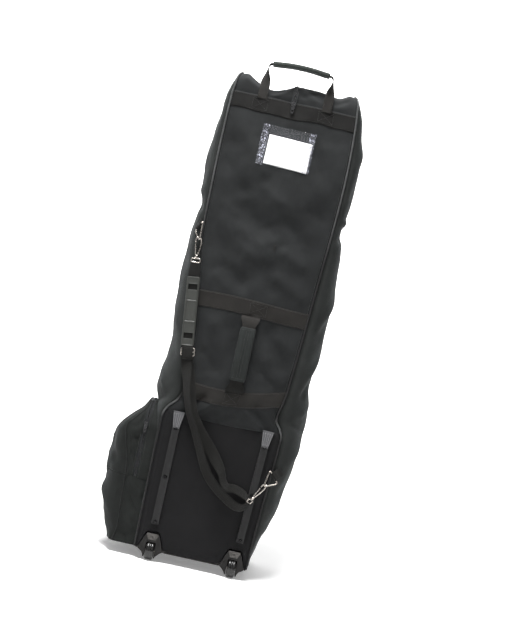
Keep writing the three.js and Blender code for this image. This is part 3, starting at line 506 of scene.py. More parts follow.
def moulded(name, color, roughness=0.5, grain=700, relief=0.15, worn=1.9, **sockets):
    """Moulded plastic or rubber: a fine grain, faint flow marks, and rubbed, paler edges."""
    look = Look(name, color, roughness, **sockets)
    edge = look.spread(look.add("ShaderNodeNewGeometry", {}).outputs["Pointiness"], 0.50, 0.60)
    scratch = look.noise(120, 5, look.stretched(look.where("Object"), (3.0, 3.0, 0.25)), 0.7)
    marks = look.spread(scratch, 0.52, 0.78)
    wear = look.math("MAXIMUM", look.math("MULTIPLY", edge, look.noise(90, 3)),
                     look.math("MULTIPLY", marks, 0.45))
    look.paint(look.tint(wear, look.dark(0.9), look.dark(worn)))
    look.put(look.shader, "Roughness", look.spread(look.noise(60, 3), 0.3, 0.8, roughness - 0.1,
                                                  min(roughness + 0.14, 1)))
    look.bump(look.noise(grain, 3), relief, 0.0003)
    return look.material


def metal(name, color, roughness, tarnish):
    look = Look(name, color, roughness, metallic=1.0)
    spots = look.spread(look.noise(160, 4), 0.45, 0.75)
    look.paint(look.tint(spots, color, tuple(c * tarnish for c in color)))
    look.put(look.shader, "Roughness", look.spread(look.noise(300, 3), 0.3, 0.8, roughness * 0.7,
                                                  roughness * 1.7))
    look.bump(look.noise(220, 2), 0.05, 0.0002)
    return look.material


def edge_piping():
    """Piping round the bag: near-black as painted shade beside the board and up to about 0.86 m, pale
    as a painted highlight where it turns over the board's top and higher up.
    """
    look = Look("piping_cord", (0.060, 0.062, 0.062), 0.42, specular_ior_level=0.4)
    z = look.parts(look.where("Object"))[2]
    height = look.math("ADD", z, look.math("MULTIPLY", look.noise(40, 2), 0.02))
    # Painted light and shade: the cord is pale as a highlight at the bend over the board's top and from
    # about 0.86 m up, and near-black as painted shade elsewhere.
    bend = look.math("MULTIPLY", look.spread(height, 0.385, 0.405), look.spread(height, 0.450, 0.425))
    shade = look.math("MAXIMUM", bend, look.spread(height, 0.86, 1.06))
    rubbed = look.spread(look.noise(70, 3), 0.3, 0.75)
    painted_highlight_tone = look.tint(rubbed, look.dark(0.75), look.dark(1.35))
    look.paint(look.tint(shade, (0.006, 0.006, 0.0062), painted_highlight_tone))
    look.put(look.shader, "Roughness", look.spread(shade, 0, 1, 0.75, 0.40))
    look.bump(look.noise(1200, 2), 0.15, 0.0003)
    return look.material


FABRIC = (0.0138, 0.0147, 0.0151)
SHELL = woven("shell_cloth", FABRIC)
GUSSET = woven("gusset_cloth", (0.0175, 0.0190, 0.0182), cloud=0.30)
BOARD = woven("board_cloth", (0.0076, 0.0075, 0.0080), pitch=0.0013, relief=0.3, sheen=0.03, cloud=0.16)
POCKET = woven("pocket_cloth", (0.0102, 0.0114, 0.0106), cloud=0.30)
LINING = woven("lining_cloth", (0.050, 0.053, 0.055), pitch=0.0008, relief=0.2, sheen=0.1)
WEB = webbing("webbing", (0.0165, 0.0152, 0.0138))
TOP_WEB = webbing("top_webbing", (0.0072, 0.0069, 0.0065))
STRAP_WEB = webbing("strap_webbing", (0.0072, 0.0071, 0.0063), relief=0.8)
GRIP = woven("grip_cloth", (0.026, 0.030, 0.027), pitch=0.0009, sheen=0.15, roughness=0.7)
CARRY_GRIP = woven("carry_grip_cloth", (0.0150, 0.0172, 0.0165), pitch=0.0009, roughness=0.7)
THREAD = woven("thread", (0.028, 0.027, 0.025), pitch=0.0006, sheen=0.15, roughness=0.6)
PIPING = edge_piping()
# The pocket's piping is the body's piping cord made near-black as painted shade, where the bottom of
# the bag is in shade.
POCKET_PIPING_PAINTED_SHADE = moulded("pocket_piping", (0.0065, 0.0070, 0.0068), 0.7, grain=1200, worn=1.6,
                        specular_ior_level=0.25)
# The ramp's ribs are pale as a painted highlight, and the ramp's face is paler than the rail as painted
# light, where they face up to the light.
RIB_PAINTED_HIGHLIGHT = moulded("rail_rib", (0.115, 0.115, 0.120), 0.36, worn=1.6)
RAMP = moulded("rail_ramp", (0.052, 0.052, 0.055), 0.50, worn=1.6)
RAIL = moulded("rail_plastic", (0.0076, 0.0076, 0.0079), 0.55, worn=2.6, specular_ior_level=0.3)
HOUSING = moulded("housing_plastic", (0.0062, 0.0056, 0.0052), 0.6, worn=2.2, specular_ior_level=0.3)
TRAY = moulded("tray_plastic", (0.022, 0.022, 0.023), 0.55)
TYRE = moulded("wheel_rubber", (0.0085, 0.0082, 0.0080), 0.28, worn=1.8, grain=400)
FOOT = moulded("foot_rubber", (0.018, 0.018, 0.018), 0.65)
PAD = moulded("pad_rubber", (0.030, 0.032, 0.028), 0.55, grain=1400, worn=1.5)
COIL = moulded("zip_coil", (0.022, 0.023, 0.024), 0.4, worn=2.0)
TAPE = woven("zip_tape", (0.014, 0.015, 0.016), pitch=0.0007, sheen=0.15)
NICKEL = metal("nickel", (0.54, 0.50, 0.455), 0.26, 0.68)
DARK_STEEL = metal("dark_steel", (0.085, 0.085, 0.088), 0.27, 0.5)
SCREW = metal("screw_steel", (0.035, 0.035, 0.036), 0.38, 0.6)
PLATE = metal("plate_steel", (0.105, 0.10, 0.095), 0.40, 0.5)


def film(name, alpha, color, roughness):
    """Clear vinyl, with a fine ripple in it."""
    look = Look(name, color, roughness, alpha=alpha, coat_weight=0.6, coat_roughness=0.08)
    look.bump(look.noise(45, 3), 0.25, 0.002)
    look.material.surface_render_method = "BLENDED"
    return look.material


def crinkled_film():
    """Vinyl crushed by its weld: clear, with creases that turn whitish and opaque in small spots as
    painted highlights.
    """
    look = Look("welded_vinyl", (0.62, 0.63, 0.74), 0.12, coat_weight=0.8, coat_roughness=0.06)
    crease = look.noise(210, 4, rough=0.65)
    # Painted highlight: the film is opaque and whitish on the crease ridges and nearly clear between
    # them, standing in for glints of reflected light.
    look.put(look.shader, "Alpha", look.spread(crease, 0.52, 0.70, 0.04, 0.80))
    look.bump(crease, 0.8, 0.0015)
    look.material.surface_render_method = "BLENDED"
    return look.material


def ruled_card():
    """A plain white card with faint ruled lines."""
    look = Look("card_paper", (0.86, 0.86, 0.85), 0.7)
    _, y, _ = look.parts(look.where("UV"))
    phase = look.math("FRACT", look.math("DIVIDE", y, 0.0118))
    line = look.math("LESS_THAN", phase, 0.06)
    look.paint(look.tint(look.math("MULTIPLY", line, 0.25), look.color, (0.35, 0.38, 0.42)))
    look.bump(look.noise(30, 2), 0.1, 0.001)
    return look.material


VINYL = film("clear_vinyl", 0.03, (0.55, 0.57, 0.62), 0.12)
WELD = crinkled_film()
CARD = ruled_card()

# ------------------------------------------------------------------ camera


def add_camera():
    """Level with the bag's middle and rolled, so that the bag leans to the right in the picture."""
    roll, distance, tall = math.radians(12.5), 3.3, 1.677
    data = bpy.data.cameras.new("camera")
    data.lens = data.sensor_width * distance / tall
    camera = bpy.data.objects.new("camera", data)
    bpy.context.scene.collection.objects.link(camera)
    right = Vector((math.cos(roll), 0, math.sin(roll)))
    up = Vector((-math.sin(roll), 0, math.cos(roll)))
    camera.matrix_world = Matrix((right, up, Vector((0, -1, 0)))).transposed().to_4x4()
    camera.location = (0.050, -0.135 - distance, 0.674)
    bpy.context.scene.camera = camera


add_camera()

# ------------------------------------------------------------------ shoulder strap

# The strap's two runs: the middle of the webbing, and the way that it faces.
MAIN_RUN = [
    (-0.1602, -0.0134, 0.7864, *BACKWARD), (-0.1582, -0.0133, 0.767, *BACKWARD),
    (-0.1562, -0.0133, 0.751, *BACKWARD), (-0.1507, -0.0133, 0.706, *BACKWARD),
    (-0.1452, -0.0133, 0.661, *BACKWARD), (-0.1397, -0.0133, 0.616, *BACKWARD),
    (-0.1342, -0.0133, 0.571, *BACKWARD), (-0.1316, -0.0136, 0.555, *BACKWARD),
    (-0.129, -0.0146, 0.540, *BACKWARD), (-0.1250, -0.017, 0.524, -0.15, -1, 0),
    (-0.121, -0.020, 0.506, -0.45, -0.9, -0.1), (-0.116, -0.023, 0.487, -0.65, -0.76, -0.1),
    (-0.112, -0.025, 0.466, -0.75, -0.66, -0.15), (-0.104, -0.027, 0.438, -0.78, -0.60, -0.2),
    (-0.094, -0.0285, 0.409, -0.74, -0.60, -0.3), (-0.082, -0.0285, 0.386, -0.70, -0.62, -0.35),
    (-0.068, -0.029, 0.362, -0.66, -0.66, -0.36), (-0.045, -0.030, 0.318, -0.60, -0.72, -0.34),
    (-0.024, -0.032, 0.278, -0.52, -0.80, -0.3), (-0.006, -0.033, 0.252, -0.42, -0.85, -0.34),
    (0.021, -0.034, 0.226, -0.40, -0.84, -0.42), (0.050, -0.034, 0.206, -0.28, -0.84, -0.50),
    (0.076, -0.0335, 0.192, 0.05, -0.80, -0.60), (0.093, -0.0315, 0.1895, 0.40, -0.72, -0.60),
    (0.103, -0.0285, 0.195, 0.62, -0.62, -0.48), (0.109, -0.0262, 0.204, 0.70, -0.57, -0.43),
]
RETURN_RUN = [
    (0.1095, -0.0205, 0.2085, 0.60, -0.25, 0.55), (0.101, -0.0210, 0.219, 0.48, -0.45, 0.62),
    (0.086, -0.0225, 0.228, 0.22, -0.62, 0.75), (0.066, -0.0235, 0.234, 0.12, -0.62, 0.80),
    (0.048, -0.0235, 0.233, 0.50, -0.62, 0.66), (0.036, -0.0230, 0.244, 0.72, -0.60, 0.42),
    (0.024, -0.0225, 0.270, 0.66, -0.70, 0.40), (0.004, -0.0215, 0.296, 0.25, -0.95, 0.15),
    (-0.021, -0.020, 0.325, *BACKWARD), (-0.048, -0.0195, 0.354, *BACKWARD),
    (-0.068, -0.019, 0.379, *BACKWARD), (-0.083, -0.018, 0.402, *BACKWARD),
    (-0.094, -0.016, 0.432, *BACKWARD), (-0.103, -0.012, 0.464, *BACKWARD),
    (-0.110, -0.010, 0.488, *BACKWARD), (-0.117, -0.009, 0.510, *BACKWARD),
    (-0.123, -0.009, 0.530, *BACKWARD), (-0.1275, -0.0092, 0.548, *BACKWARD),
]
RINGS = {
    "left": [(-0.164, -0.012, 0.899), (-0.180, 0.015, 0.869), (-0.162, -0.017, 0.847)],
    "right": [(0.1476, -0.018, 0.301), (0.175, -0.011, 0.2695), (0.1395, -0.027, 0.256)],
}
TAB_ANCHORS = {"left": (-0.1645, -0.0035, 0.924), "right": (0.160, -0.007, 0.322)}
HOOK_AXES = {"left": (-4, 0.6, 62), "right": (34, -1, 55)}
HOOK_TURNS = {"left": 30, "right": -60}
EYE_TURNS = {"left": 0, "right": 55}
HOOK_REACH = 0.0615
HOOK_WIRE_R, GATE_WIRE_R, FRAME_WIRE_R = 0.0015, 0.0012, 0.0015
RING_CLEAR = 0.0095
WIRE_R = 0.0017
STRAP_STEP = 0.0025
# The webbing is gathered in at each end, by this share and over this length.
GATHER, GATHER_LENGTH = 0.24, 0.014


def strap_run(name, route, cad_node):
    """One run of the shoulder strap's webbing, which stands for a CAD node."""
    rows = smooth_path(route, STRAP_STEP)
    path, facing = rows[:, :3], rows[:, 3:]
    way = np.arange(len(path)) * STRAP_STEP
    start, end = (np.exp(-(off / GATHER_LENGTH) ** 2) for off in (way, way[-1] - way))
    made = sweep(name, path, flat_section(STRAP, WEBBING), facing, STRAP_WEB, "webbing",
                 taper=1 - GATHER * (start + end))
    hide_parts(cad_node)
    in_frame(path[0])
    in_frame(path)


def wire(name, points, radius, look, slot, body, node, closed=False, step=0.0012):
    """A bent wire with round ends, which stands for a CAD node."""
    rows = np.array(points, float)
    if closed:
        path = smooth_path(np.concatenate([rows[-2:], rows, rows[:3]]), step)
        near = np.linalg.norm(path - rows[0], axis=1)
        half = len(path) // 2
        first = int(np.argmin(near[:half]))
        last = half + int(np.argmin(near[half:]))
        path = path[first:last]
    else:
        path = smooth_path(rows, step)
    normal = unit(np.cross(rows[1] - rows[0], rows[len(rows) // 2] - rows[0]))
    taper = None
    if not closed:
        ends = np.minimum(np.arange(len(path)), np.arange(len(path))[::-1]) * step / radius
        taper = np.sqrt(np.clip(1 - np.maximum(1 - ends, 0) ** 2, 0.12, 1))
    made = sweep(name, path, round_section(radius), normal, look, slot, closed=closed,
                 taper=taper, body=body)
    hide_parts(node)


def ring_wire(side):
    """A triangle of wire with round corners."""
    corners = [np.array(p) for p in RINGS[side]]
    points = []
    for i, corner in enumerate(corners):
        before, after = corners[i - 1], corners[(i + 1) % 3]
        start = corner + unit(before - corner) * 0.008
        end = corner + unit(after - corner) * 0.008
        for t in np.linspace(0, 1, 7):
            points.append((1 - t) ** 2 * start + 2 * t * (1 - t) * corner + t * t * end)
    normal = unit(np.cross(corners[1] - corners[0], corners[2] - corners[0]))
    made = sweep(f"{side}_ring_wire", points, round_section(WIRE_R), normal, NICKEL, "nickel",
                 closed=True, body=f"{side}_ring")
    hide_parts(f"{side}_strap_ring")


def hook_basis(side):
    """The hook's own axes and origin: its eye at the origin, its nose up Z."""
    one, two, corner = (np.array(p) for p in RINGS[side])
    inward = unit(unit(one - corner) + unit(two - corner))
    up = unit(HOOK_AXES[side])
    right = unit(np.cross([0, 1, 0], up))
    deep = np.cross(up, right)
    origin = corner + inward * RING_CLEAR - up * HOOK_REACH
    turn = math.radians(HOOK_TURNS[side])
    across = right * math.cos(turn) + deep * math.sin(turn)
    return origin, np.stack([across, np.cross(up, across), up]), np.stack([right, deep, up])


def rounded_frame(half_x, half_z, corner):
    """A flat loop in X and Z with round corners."""
    loop = []
    for x, z, start in ((1, 1, 0), (-1, 1, 90), (-1, -1, 180), (1, -1, 270)):
        for angle in (0, 30, 60, 90):
            a = math.radians(start + angle)
            loop.append((x * (half_x - corner) + corner * math.cos(a), 0,
                         z * (half_z - corner) + corner * math.sin(a)))
    return np.array(loop)


def snap_hook(side):
    """The strap's snap hook: its hooked wire and neck, its gate, and the eye that it turns on. The
    outlines are in millimetres."""
    origin, axes, eye_axes = hook_basis(side)
    place = lambda points, basis: origin + np.array(points, float) / 1000 @ basis
    body = [
        (0.6, 0, 9), (1.5, 0, 12), (3.5, 0, 18), (5.9, 0, 28), (8, 0, 38), (8.6, 0, 50),
        (5.6, 0, 58.5), (0, 0, 61.5), (-6, 0, 58.5), (-8.6, 0, 51), (-7.6, 0, 46),
    ]
    wire(f"{side}_hook_wire", place(body, axes), HOOK_WIRE_R, NICKEL, "nickel",
         f"{side}_hook", f"{side}_hook_body")
    neck = [
        (0, 6.6), (2.6, 6.8), (3.4, 7.4), (3.9, 9), (3.6, 10.6), (2.6, 12.6), (1.9, 14.6), (0, 15.2),
    ]
    turned(f"{side}_hook_neck", neck, lambda p: place(p, axes), NICKEL, "nickel", f"{side}_hook")
    gate = [(-3.4, 0, 14.0), (-4.5, 0, 20), (-6, 0, 32), (-7.3, 0, 43.5)]
    wire(f"{side}_gate_wire", place(gate, axes), GATE_WIRE_R, NICKEL, "nickel",
         f"{side}_gate", f"{side}_hook_gate")
    turn = math.radians(EYE_TURNS[side])
    eye_axes = np.stack([eye_axes[0] * math.cos(turn) + eye_axes[1] * math.sin(turn),
                         eye_axes[1] * math.cos(turn) - eye_axes[0] * math.sin(turn), eye_axes[2]])
    eye = place(rounded_frame(11.5, 5, 3), eye_axes)
    made = sweep(f"{side}_eye_wire", eye, round_section(HOOK_WIRE_R), eye_axes[1], NICKEL, "nickel",
                 closed=True)
    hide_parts(f"{side}_hook_eye")


def turned(name, outline, place, look, slot, body, segments=40):
    """A lathe: outline holds (radius, height) in millimetres from end to end."""
    points, faces = [], []
    rows = [(max(r, 0.02), z) for r, z in outline]
    for r, z in rows:
        for i in range(segments):
            a = 2 * math.pi * i / segments
            points.append((r * math.cos(a), r * math.sin(a), z))
    for k in range(len(rows) - 1):
        for i in range(segments):
            j = (i + 1) % segments
            faces.append((k * segments + i, k * segments + j, (k + 1) * segments + j,
                          (k + 1) * segments + i))
    faces.append(tuple(reversed(range(segments))))
    faces.append(tuple(range((len(rows) - 1) * segments, len(rows) * segments)))
    return piece(name, place(points), faces, look, slot, body=body)


def strap_tab(side):
    """A webbing loop from the seam round the ring's first side, with a bar of stitches."""
    one, two = (np.array(p) for p in RINGS[side][:2])
    edge = unit(two - one)
    middle = (one + two) / 2
    pull = np.array(TAB_ANCHORS[side]) - middle
    pull -= edge * (pull @ edge)
    reach = float(np.linalg.norm(pull))
    pull = unit(pull)
    across = np.cross(edge, pull)
    fold = WIRE_R + 0.0012
    rows = []

    def add(out, side_way, face):
        rows.append([*(middle + pull * out + across * side_way), *face])

    add(reach, -0.0011, -across)
    add(reach * 0.6, -0.0012, -across)
    add(0.008, -0.0022, -across)
    for degrees in (-90, -60, -30, 0, 30, 60, 90):
        a = math.radians(degrees)
        face = -pull * math.cos(a) + across * math.sin(a)
        add(-fold * math.cos(a), fold * math.sin(a), face)
    add(0.008, 0.0022, across)
    add(reach * 0.6, 0.0012, across)
    add(reach, 0.0011, across)
    path = smooth_path(rows, 0.0015)
    made = sweep(f"{side}_tab_webbing", path[:, :3], flat_section(0.024, 0.0014), path[:, 3:],
                 STRAP_WEB, "webbing")
    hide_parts(f"{side}_strap_tab")
    base = middle + pull * 0.011
    bar = [base - edge * 0.010, base + edge * 0.010]
    both = []
    for lift in (across, -across):
        both += stitches([p + lift * 0.0024 for p in bar], lift)
    joined(f"{side}_tab_stitches", both, THREAD, "webbing")


def pad_frame():
    """The shoulder pad's middle and its own axes: across, face and along."""
    lean = math.atan2(0.0055, 0.045)
    along = np.array([-math.sin(lean), 0, math.cos(lean)])
    across = np.array([math.cos(lean), 0, math.sin(lean)])
    return np.array([-0.1452, -0.0133, 0.661]), np.stack([across, [0, 1, 0], along])


def shoulder_pad():
    """A moulded sleeve in three rimmed sections, ribbed in the middle, with two windows."""
    middle, axes = pad_frame()
    half, length, deep = 0.0168, 0.181, 0.0034
    section_ends, window_z = (0.0272, 0.0895), 0.064

    def surface(u, v):
        a = 2 * np.pi * u
        z = (v - 0.5) * length
        round_end = 1 - 0.10 * np.clip(np.abs(v - 0.5) * 2 - 0.97, 0, 1) / 0.03
        x = half * np.sign(np.sin(a)) * np.abs(np.sin(a)) ** 0.36 * round_end
        face = -np.cos(a)
        y = deep * np.sign(face) * np.abs(face) ** 0.5
        front = (face < -0.2) & (np.abs(x) < half - 0.0022)
        edges = np.minimum.reduce([np.abs(np.abs(z) - e) for e in section_ends])
        rim = np.clip(1 - edges / 0.0022, 0, 1)
        rim = np.maximum(rim, np.clip(1 - np.abs(np.abs(x) - half + 0.0036) / 0.0014, 0, 1) * 0.8)
        ribs = 0.5 + 0.5 * np.cos(x * 2 * np.pi / 0.0031)
        middle_part = ease((0.0245 - np.abs(z)) / 0.002)
        relief = 0.0009 * rim - 0.0008 * (1 - rim) + 0.0007 * ribs * middle_part * (1 - rim)
        sunk = ease((0.0145 - np.abs(x)) / 0.001)
        sunk = sunk * ease((0.0092 - np.abs(np.abs(z) - window_z)) / 0.001)
        relief = relief + 0.0007 * sunk
        y = np.where(front, y - relief, y)
        points = np.stack([x, y, z], axis=-1) @ axes + middle
        return points[..., 0], points[..., 1], points[..., 2]

    def solid(u, v):
        a = 2 * np.pi * u
        x = half * np.sign(np.sin(a)) * np.abs(np.sin(a)) ** 0.36
        inside = (np.abs(x) < 0.0118) & (np.abs(np.abs((v - 0.5) * length) - window_z) < 0.0078)
        return ~(inside & (np.cos(a) > 0))

    made = grid("shoulder_pad_sleeve", surface, 96, 200, PAD, "pad_rubber", thickness=0.0011,
                body="pad", closed=True, keep=solid)
    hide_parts("shoulder_pad")
    return made


def tri_glide():
    """The slide buckle: a wire frame with a bar across its middle."""
    lean = math.atan2(0.0026, 0.0185)
    axes = np.stack([[math.cos(lean), 0, math.sin(lean)], [0, 1, 0],
                     [-math.sin(lean), 0, math.cos(lean)]])
    middle = np.array([-0.1290, -0.018, 0.556])
    half_x, half_z = 0.0172, 0.0095
    loop = rounded_frame(half_x, half_z, 0.003) @ axes + middle
    made = sweep("tri_glide_frame", loop, round_section(FRAME_WIRE_R), axes[1], NICKEL, "nickel",
                 closed=True, body="glide")
    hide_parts("tri_glide")
    bar = np.array([(-half_x, 0, 0), (half_x, 0, 0)]) @ axes + middle
    turned_over = [(-0.001, 0.0010, 0.0140), (-0.001, -0.0014, 0.0118), (-0.001, -0.0031, 0.0080),
                   (-0.001, -0.0036, 0.0010), (-0.001, -0.0039, -0.0070), (-0.001, -0.0036, -0.0120),
                   (0, -0.0026, -0.0160), (0, -0.0014, -0.0190)]
    over = smooth_path(np.array(turned_over) @ axes + middle, 0.0015)
    sweep("tri_glide_webbing", over, flat_section(STRAP - 0.001, 0.0014), (0, -1, 0.001), STRAP_WEB,
          "webbing", body="glide")
    sweep("tri_glide_bar", smooth_path(bar, 0.004), round_section(0.0014), axes[1], NICKEL, "nickel",
          body="glide")


for a_side in SIDES:
    ring_wire(a_side)
    strap_tab(a_side)
    snap_hook(a_side)
pad_sleeve = shoulder_pad()
tri_glide()
strap_run("strap_main_webbing", MAIN_RUN, "strap_main_run")
strap_run("strap_return_webbing", RETURN_RUN, "strap_return_run")

# ------------------------------------------------------------------ the bag's shell


def upper_back():
    def surface(u, v):
        z = mix(0.388 + 0.010 * (2 * u - 1) ** 2, HOOD_SEAM, v)
        x = mix(*between_seams(z, SEAM_GAP), u)
        return x, back_y(x, z), z

    made = grid("upper_back_cloth", surface, 110, 300, SHELL, "shell_fabric", thickness=CLOTH)
    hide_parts("upper_back_panel")


def board_low(x):
    """The lower edge of the board's cloth, which stops over each wheel housing."""
    off = np.minimum(np.abs(x - WHEELS["left"]), np.abs(x - WHEELS["right"]))
    edge = profile([
        (0, 0.0735), (0.0165, 0.0735), (0.023, 0.060), (0.0328, 0.033), (0.0345, FLOOR_GAP),
    ])
    return edge(off)


def lower_back():
    """Cloth over the board: flat, falling away to the piping, with a shallow edge line inside it."""
    marks = [(-0.06, 0.30, 0.06, 0.36, 0.030, 0.0010), (-0.02, 0.12, 0.08, 0.16, 0.025, 0.0009),
             (-0.09, 0.17, 0.00, 0.22, 0.022, -0.0008), (-0.06, 0.045, 0.05, 0.050, 0.010, 0.0012)]

    def surface(u, v):
        top = BOARD_TOP - 0.006 * bulge(u, 0.8)
        foot_x = mix(*between_seams(0.05, SEAM_GAP), u)
        z = mix(board_low(foot_x), top, v)
        left, right = between_seams(z, SEAM_GAP)
        x = mix(left, right, u)
        edge = np.minimum(x - left, right - x)
        fall = 0.0026 * (1 - ease(edge / 0.009)) - 0.0006 * np.exp(-((edge - 0.011) / 0.002) ** 2)
        fall = fall + 0.0018 * (1 - ease((top - z) / 0.006))
        ripple = folds(x, z, marks) + 0.00035 * soft_noise(x, z, 0.05, 8)
        return x, -0.0026 + fall - ripple * ease(edge / 0.02), z

    made = grid("lower_back_cloth", surface, 150, 110, BOARD, "board_fabric",
                thickness=BOARD_CLOTH)
    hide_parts("lower_back_board")
    path = [(x, -0.0012, 0.0278) for x in np.linspace(-0.080, 0.070, 40)]
    sweep("foot_binding", path, flat_section(0.005, 0.0024), (0, -1, 0), WEB, "webbing")


GUSSET_FOLDS = {
    "left": [
        (0.02, 0.455, 0.12, 0.500, 0.014, 0.0060), (0.01, 0.430, 0.10, 0.415, 0.012, -0.0050),
        (0.00, 0.520, 0.10, 0.570, 0.022, -0.0035), (0.02, 0.62, 0.13, 0.70, 0.030, 0.0040),
        (0.02, 0.78, 0.12, 0.83, 0.030, -0.0030), (0.00, 0.930, 0.16, 0.958, 0.012, -0.0050),
        (0.00, 0.985, 0.16, 0.975, 0.014, 0.0040), (0.03, 1.05, 0.14, 1.12, 0.030, 0.0035),
        (0.02, 1.17, 0.14, 1.21, 0.024, -0.0030), (0.10, 0.86, 0.24, 0.80, 0.030, 0.0040),
        (0.12, 0.55, 0.26, 0.50, 0.030, -0.0050), (0.12, 0.66, 0.27, 0.73, 0.030, 0.0040),
    ],
    "right": [
        (0.02, 0.455, 0.12, 0.490, 0.014, 0.0055), (0.00, 0.430, 0.10, 0.405, 0.011, -0.0045),
        (0.01, 0.540, 0.11, 0.640, 0.014, 0.0060), (0.02, 0.50, 0.12, 0.575, 0.012, -0.0050),
        (0.01, 0.66, 0.10, 0.74, 0.020, -0.0040), (0.02, 0.72, 0.13, 0.80, 0.022, 0.0045),
        (0.00, 0.925, 0.18, 0.950, 0.010, -0.0060), (0.00, 0.975, 0.18, 0.968, 0.012, 0.0050),
        (0.02, 1.05, 0.12, 1.10, 0.028, -0.0030), (0.02, 1.15, 0.14, 1.19, 0.026, 0.0035),
        (0.01, 0.33, 0.10, 0.37, 0.022, 0.0040), (0.02, 0.24, 0.14, 0.28, 0.022, -0.0035),
        (0.02, 0.13, 0.12, 0.17, 0.018, 0.0030), (0.12, 0.62, 0.27, 0.55, 0.030, -0.0050),
        (0.12, 0.80, 0.27, 0.86, 0.030, 0.0045), (0.10, 0.42, 0.26, 0.36, 0.028, 0.0045),
    ],
}


def gusset_y(u):
    return mix(0.0012, DEPTH - 0.002, u)


def gusset_place(side, u, z):
    """A place on a side gusset: u runs from the back seam to the front edge."""
    sign = SIDES[side]
    y = gusset_y(u)
    body_z = np.minimum(z, 1.310)
    seam = SEAM[side](np.minimum(z, 1.262)) + sign * 0.0010
    lean = u ** 0.68
    straight = mix(seam, sign * FRONT_X, u)
    middle = mix(seam, sign * FRONT_X, 0.36)
    swell = np.maximum(sign * (WIDEST[side](body_z) - middle), 0.001)
    x = straight + sign * swell * bulge(lean, 0.62)
    ripple = 0.0009 * soft_noise(y, z, 0.06, 11) + 0.0008 * soft_noise(y, z, 0.025, 12)
    outline = 0.12 + 1.18 * np.minimum(np.abs(y - 0.115) / 0.075, 1) ** 1.5
    x = x + sign * (outline * 1.7 * folds(y, z, GUSSET_FOLDS[side]) + ripple) * bulge(u, 0.5)
    rise = np.clip((z - 1.235) / np.maximum(CREST(y) - 1.235, 0.01), 0, 1)
    return mix(x, crest_x(side, y), 1 - np.sqrt(1 - np.minimum(rise ** 2.4, 1))), y, z


def side_gusset(side):
    def surface(u, v):
        top = CREST(gusset_y(u)) - 0.0005
        return gusset_place(side, u, mix(FLOOR_GAP, top, 1 - (1 - v) ** 1.5))

    made = grid(f"{side}_side_cloth", surface, 84, 330, GUSSET, "shell_fabric",
                thickness=SIDES[side] * CLOTH)
    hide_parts(f"{side}_side_gusset")


# Height of the hood's highest line, from the left corner to the right.
TOP_LINE = profile([
    (-0.170, 1.300), (-0.150, 1.311), (-0.138, 1.313), (-0.115, 1.300), (-0.087, 1.286),
    (-0.059, 1.279), (-0.030, 1.288), (0.0, 1.302), (0.030, 1.303), (0.060, 1.302), (0.090, 1.299),
    (0.114, 1.296), (0.130, 1.302), (0.148, 1.311), (0.175, 1.303),
])
HOOD_FOLDS = [
    (-0.135, 0.06, -0.075, 0.03, 0.016, 0.0040), (-0.050, 0.02, -0.006, 0.075, 0.012, 0.0040),
    (0.008, 0.075, 0.060, 0.02, 0.012, 0.0045), (0.020, 0.03, 0.050, 0.06, 0.010, -0.0030),
    (0.085, 0.02, 0.140, 0.06, 0.013, -0.0035), (-0.10, 0.12, -0.02, 0.16, 0.026, -0.0030),
    (0.04, 0.14, 0.13, 0.19, 0.026, 0.0030), (-0.12, 0.24, -0.03, 0.27, 0.026, 0.0030),
]


def hood_line(knots):
    """Y and Z at shares of the way from the back seam over the hood to its front edge."""
    share, y, z = np.array(knots, float).T
    return profile(list(zip(share, y))), profile(list(zip(share, z)))


# The middle's heights are shares of its rise; the corner's are metres.
HOOD_MIDDLE = hood_line([
    (0, 0.0, 0.0), (0.08, -0.0015, 0.34), (0.17, 0.003, 0.68), (0.25, 0.013, 0.88),
    (0.34, 0.032, 0.975), (0.45, 0.065, 1.0), (0.62, 0.135, 1.0), (0.80, 0.215, 0.90),
    (0.92, 0.268, 0.62), (1.0, 0.289, 0.0),
])
HOOD_CORNER = hood_line([
    (0, 0.0, 1.2515), (0.08, 0.0002, 1.270), (0.17, 0.003, 1.285), (0.25, 0.011, 1.298),
    (0.34, 0.030, 1.3065), (0.45, 0.065, 1.3060), (0.62, 0.135, 1.3030), (0.80, 0.215, 1.3010),
    (0.90, 0.270, 1.289), (0.955, 0.2865, 1.268), (1.0, 0.2895, 1.2425),
])


def hood_half(side):
    """Half of the hood's top, from the zip to the seam over the corner."""
    sign = SIDES[side]

    def surface(u, v):
        corner_y, corner_z = HOOD_CORNER[0](v), HOOD_CORNER[1](v)
        edge = ease((u - 0.80) / 0.20)
        y = mix(HOOD_MIDDLE[0](v), corner_y, edge)
        seam = crest_x(side, np.maximum(corner_y, 0.0), corner_z)
        x = mix(sign * 0.0052, seam - sign * 0.001, u)
        low = mix(HOOD_SEAM - 0.002, HOOD_FRONT, ease((v - 0.5) * 2))
        middle = mix(low, TOP_LINE(x), HOOD_MIDDLE[1](v))
        z = mix(middle, corner_z - 0.0006, edge)
        loose = (1 - edge) * bulge(v, 0.4)
        ripple = folds(x, v * 0.36, HOOD_FOLDS) + 0.0010 * soft_noise(x, v * 0.36, 0.03, 21)
        start = back_y(x, np.full_like(x, HOOD_SEAM)) + 0.0012
        return x, y + start * (1 - ease(v / 0.2)) - ripple * loose, z + ripple * loose * 0.5

    made = grid(f"{side}_hood_cloth", surface, 64, 130, SHELL, "shell_fabric",
                thickness=sign * CLOTH)
    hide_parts(f"hood_top_{side}")


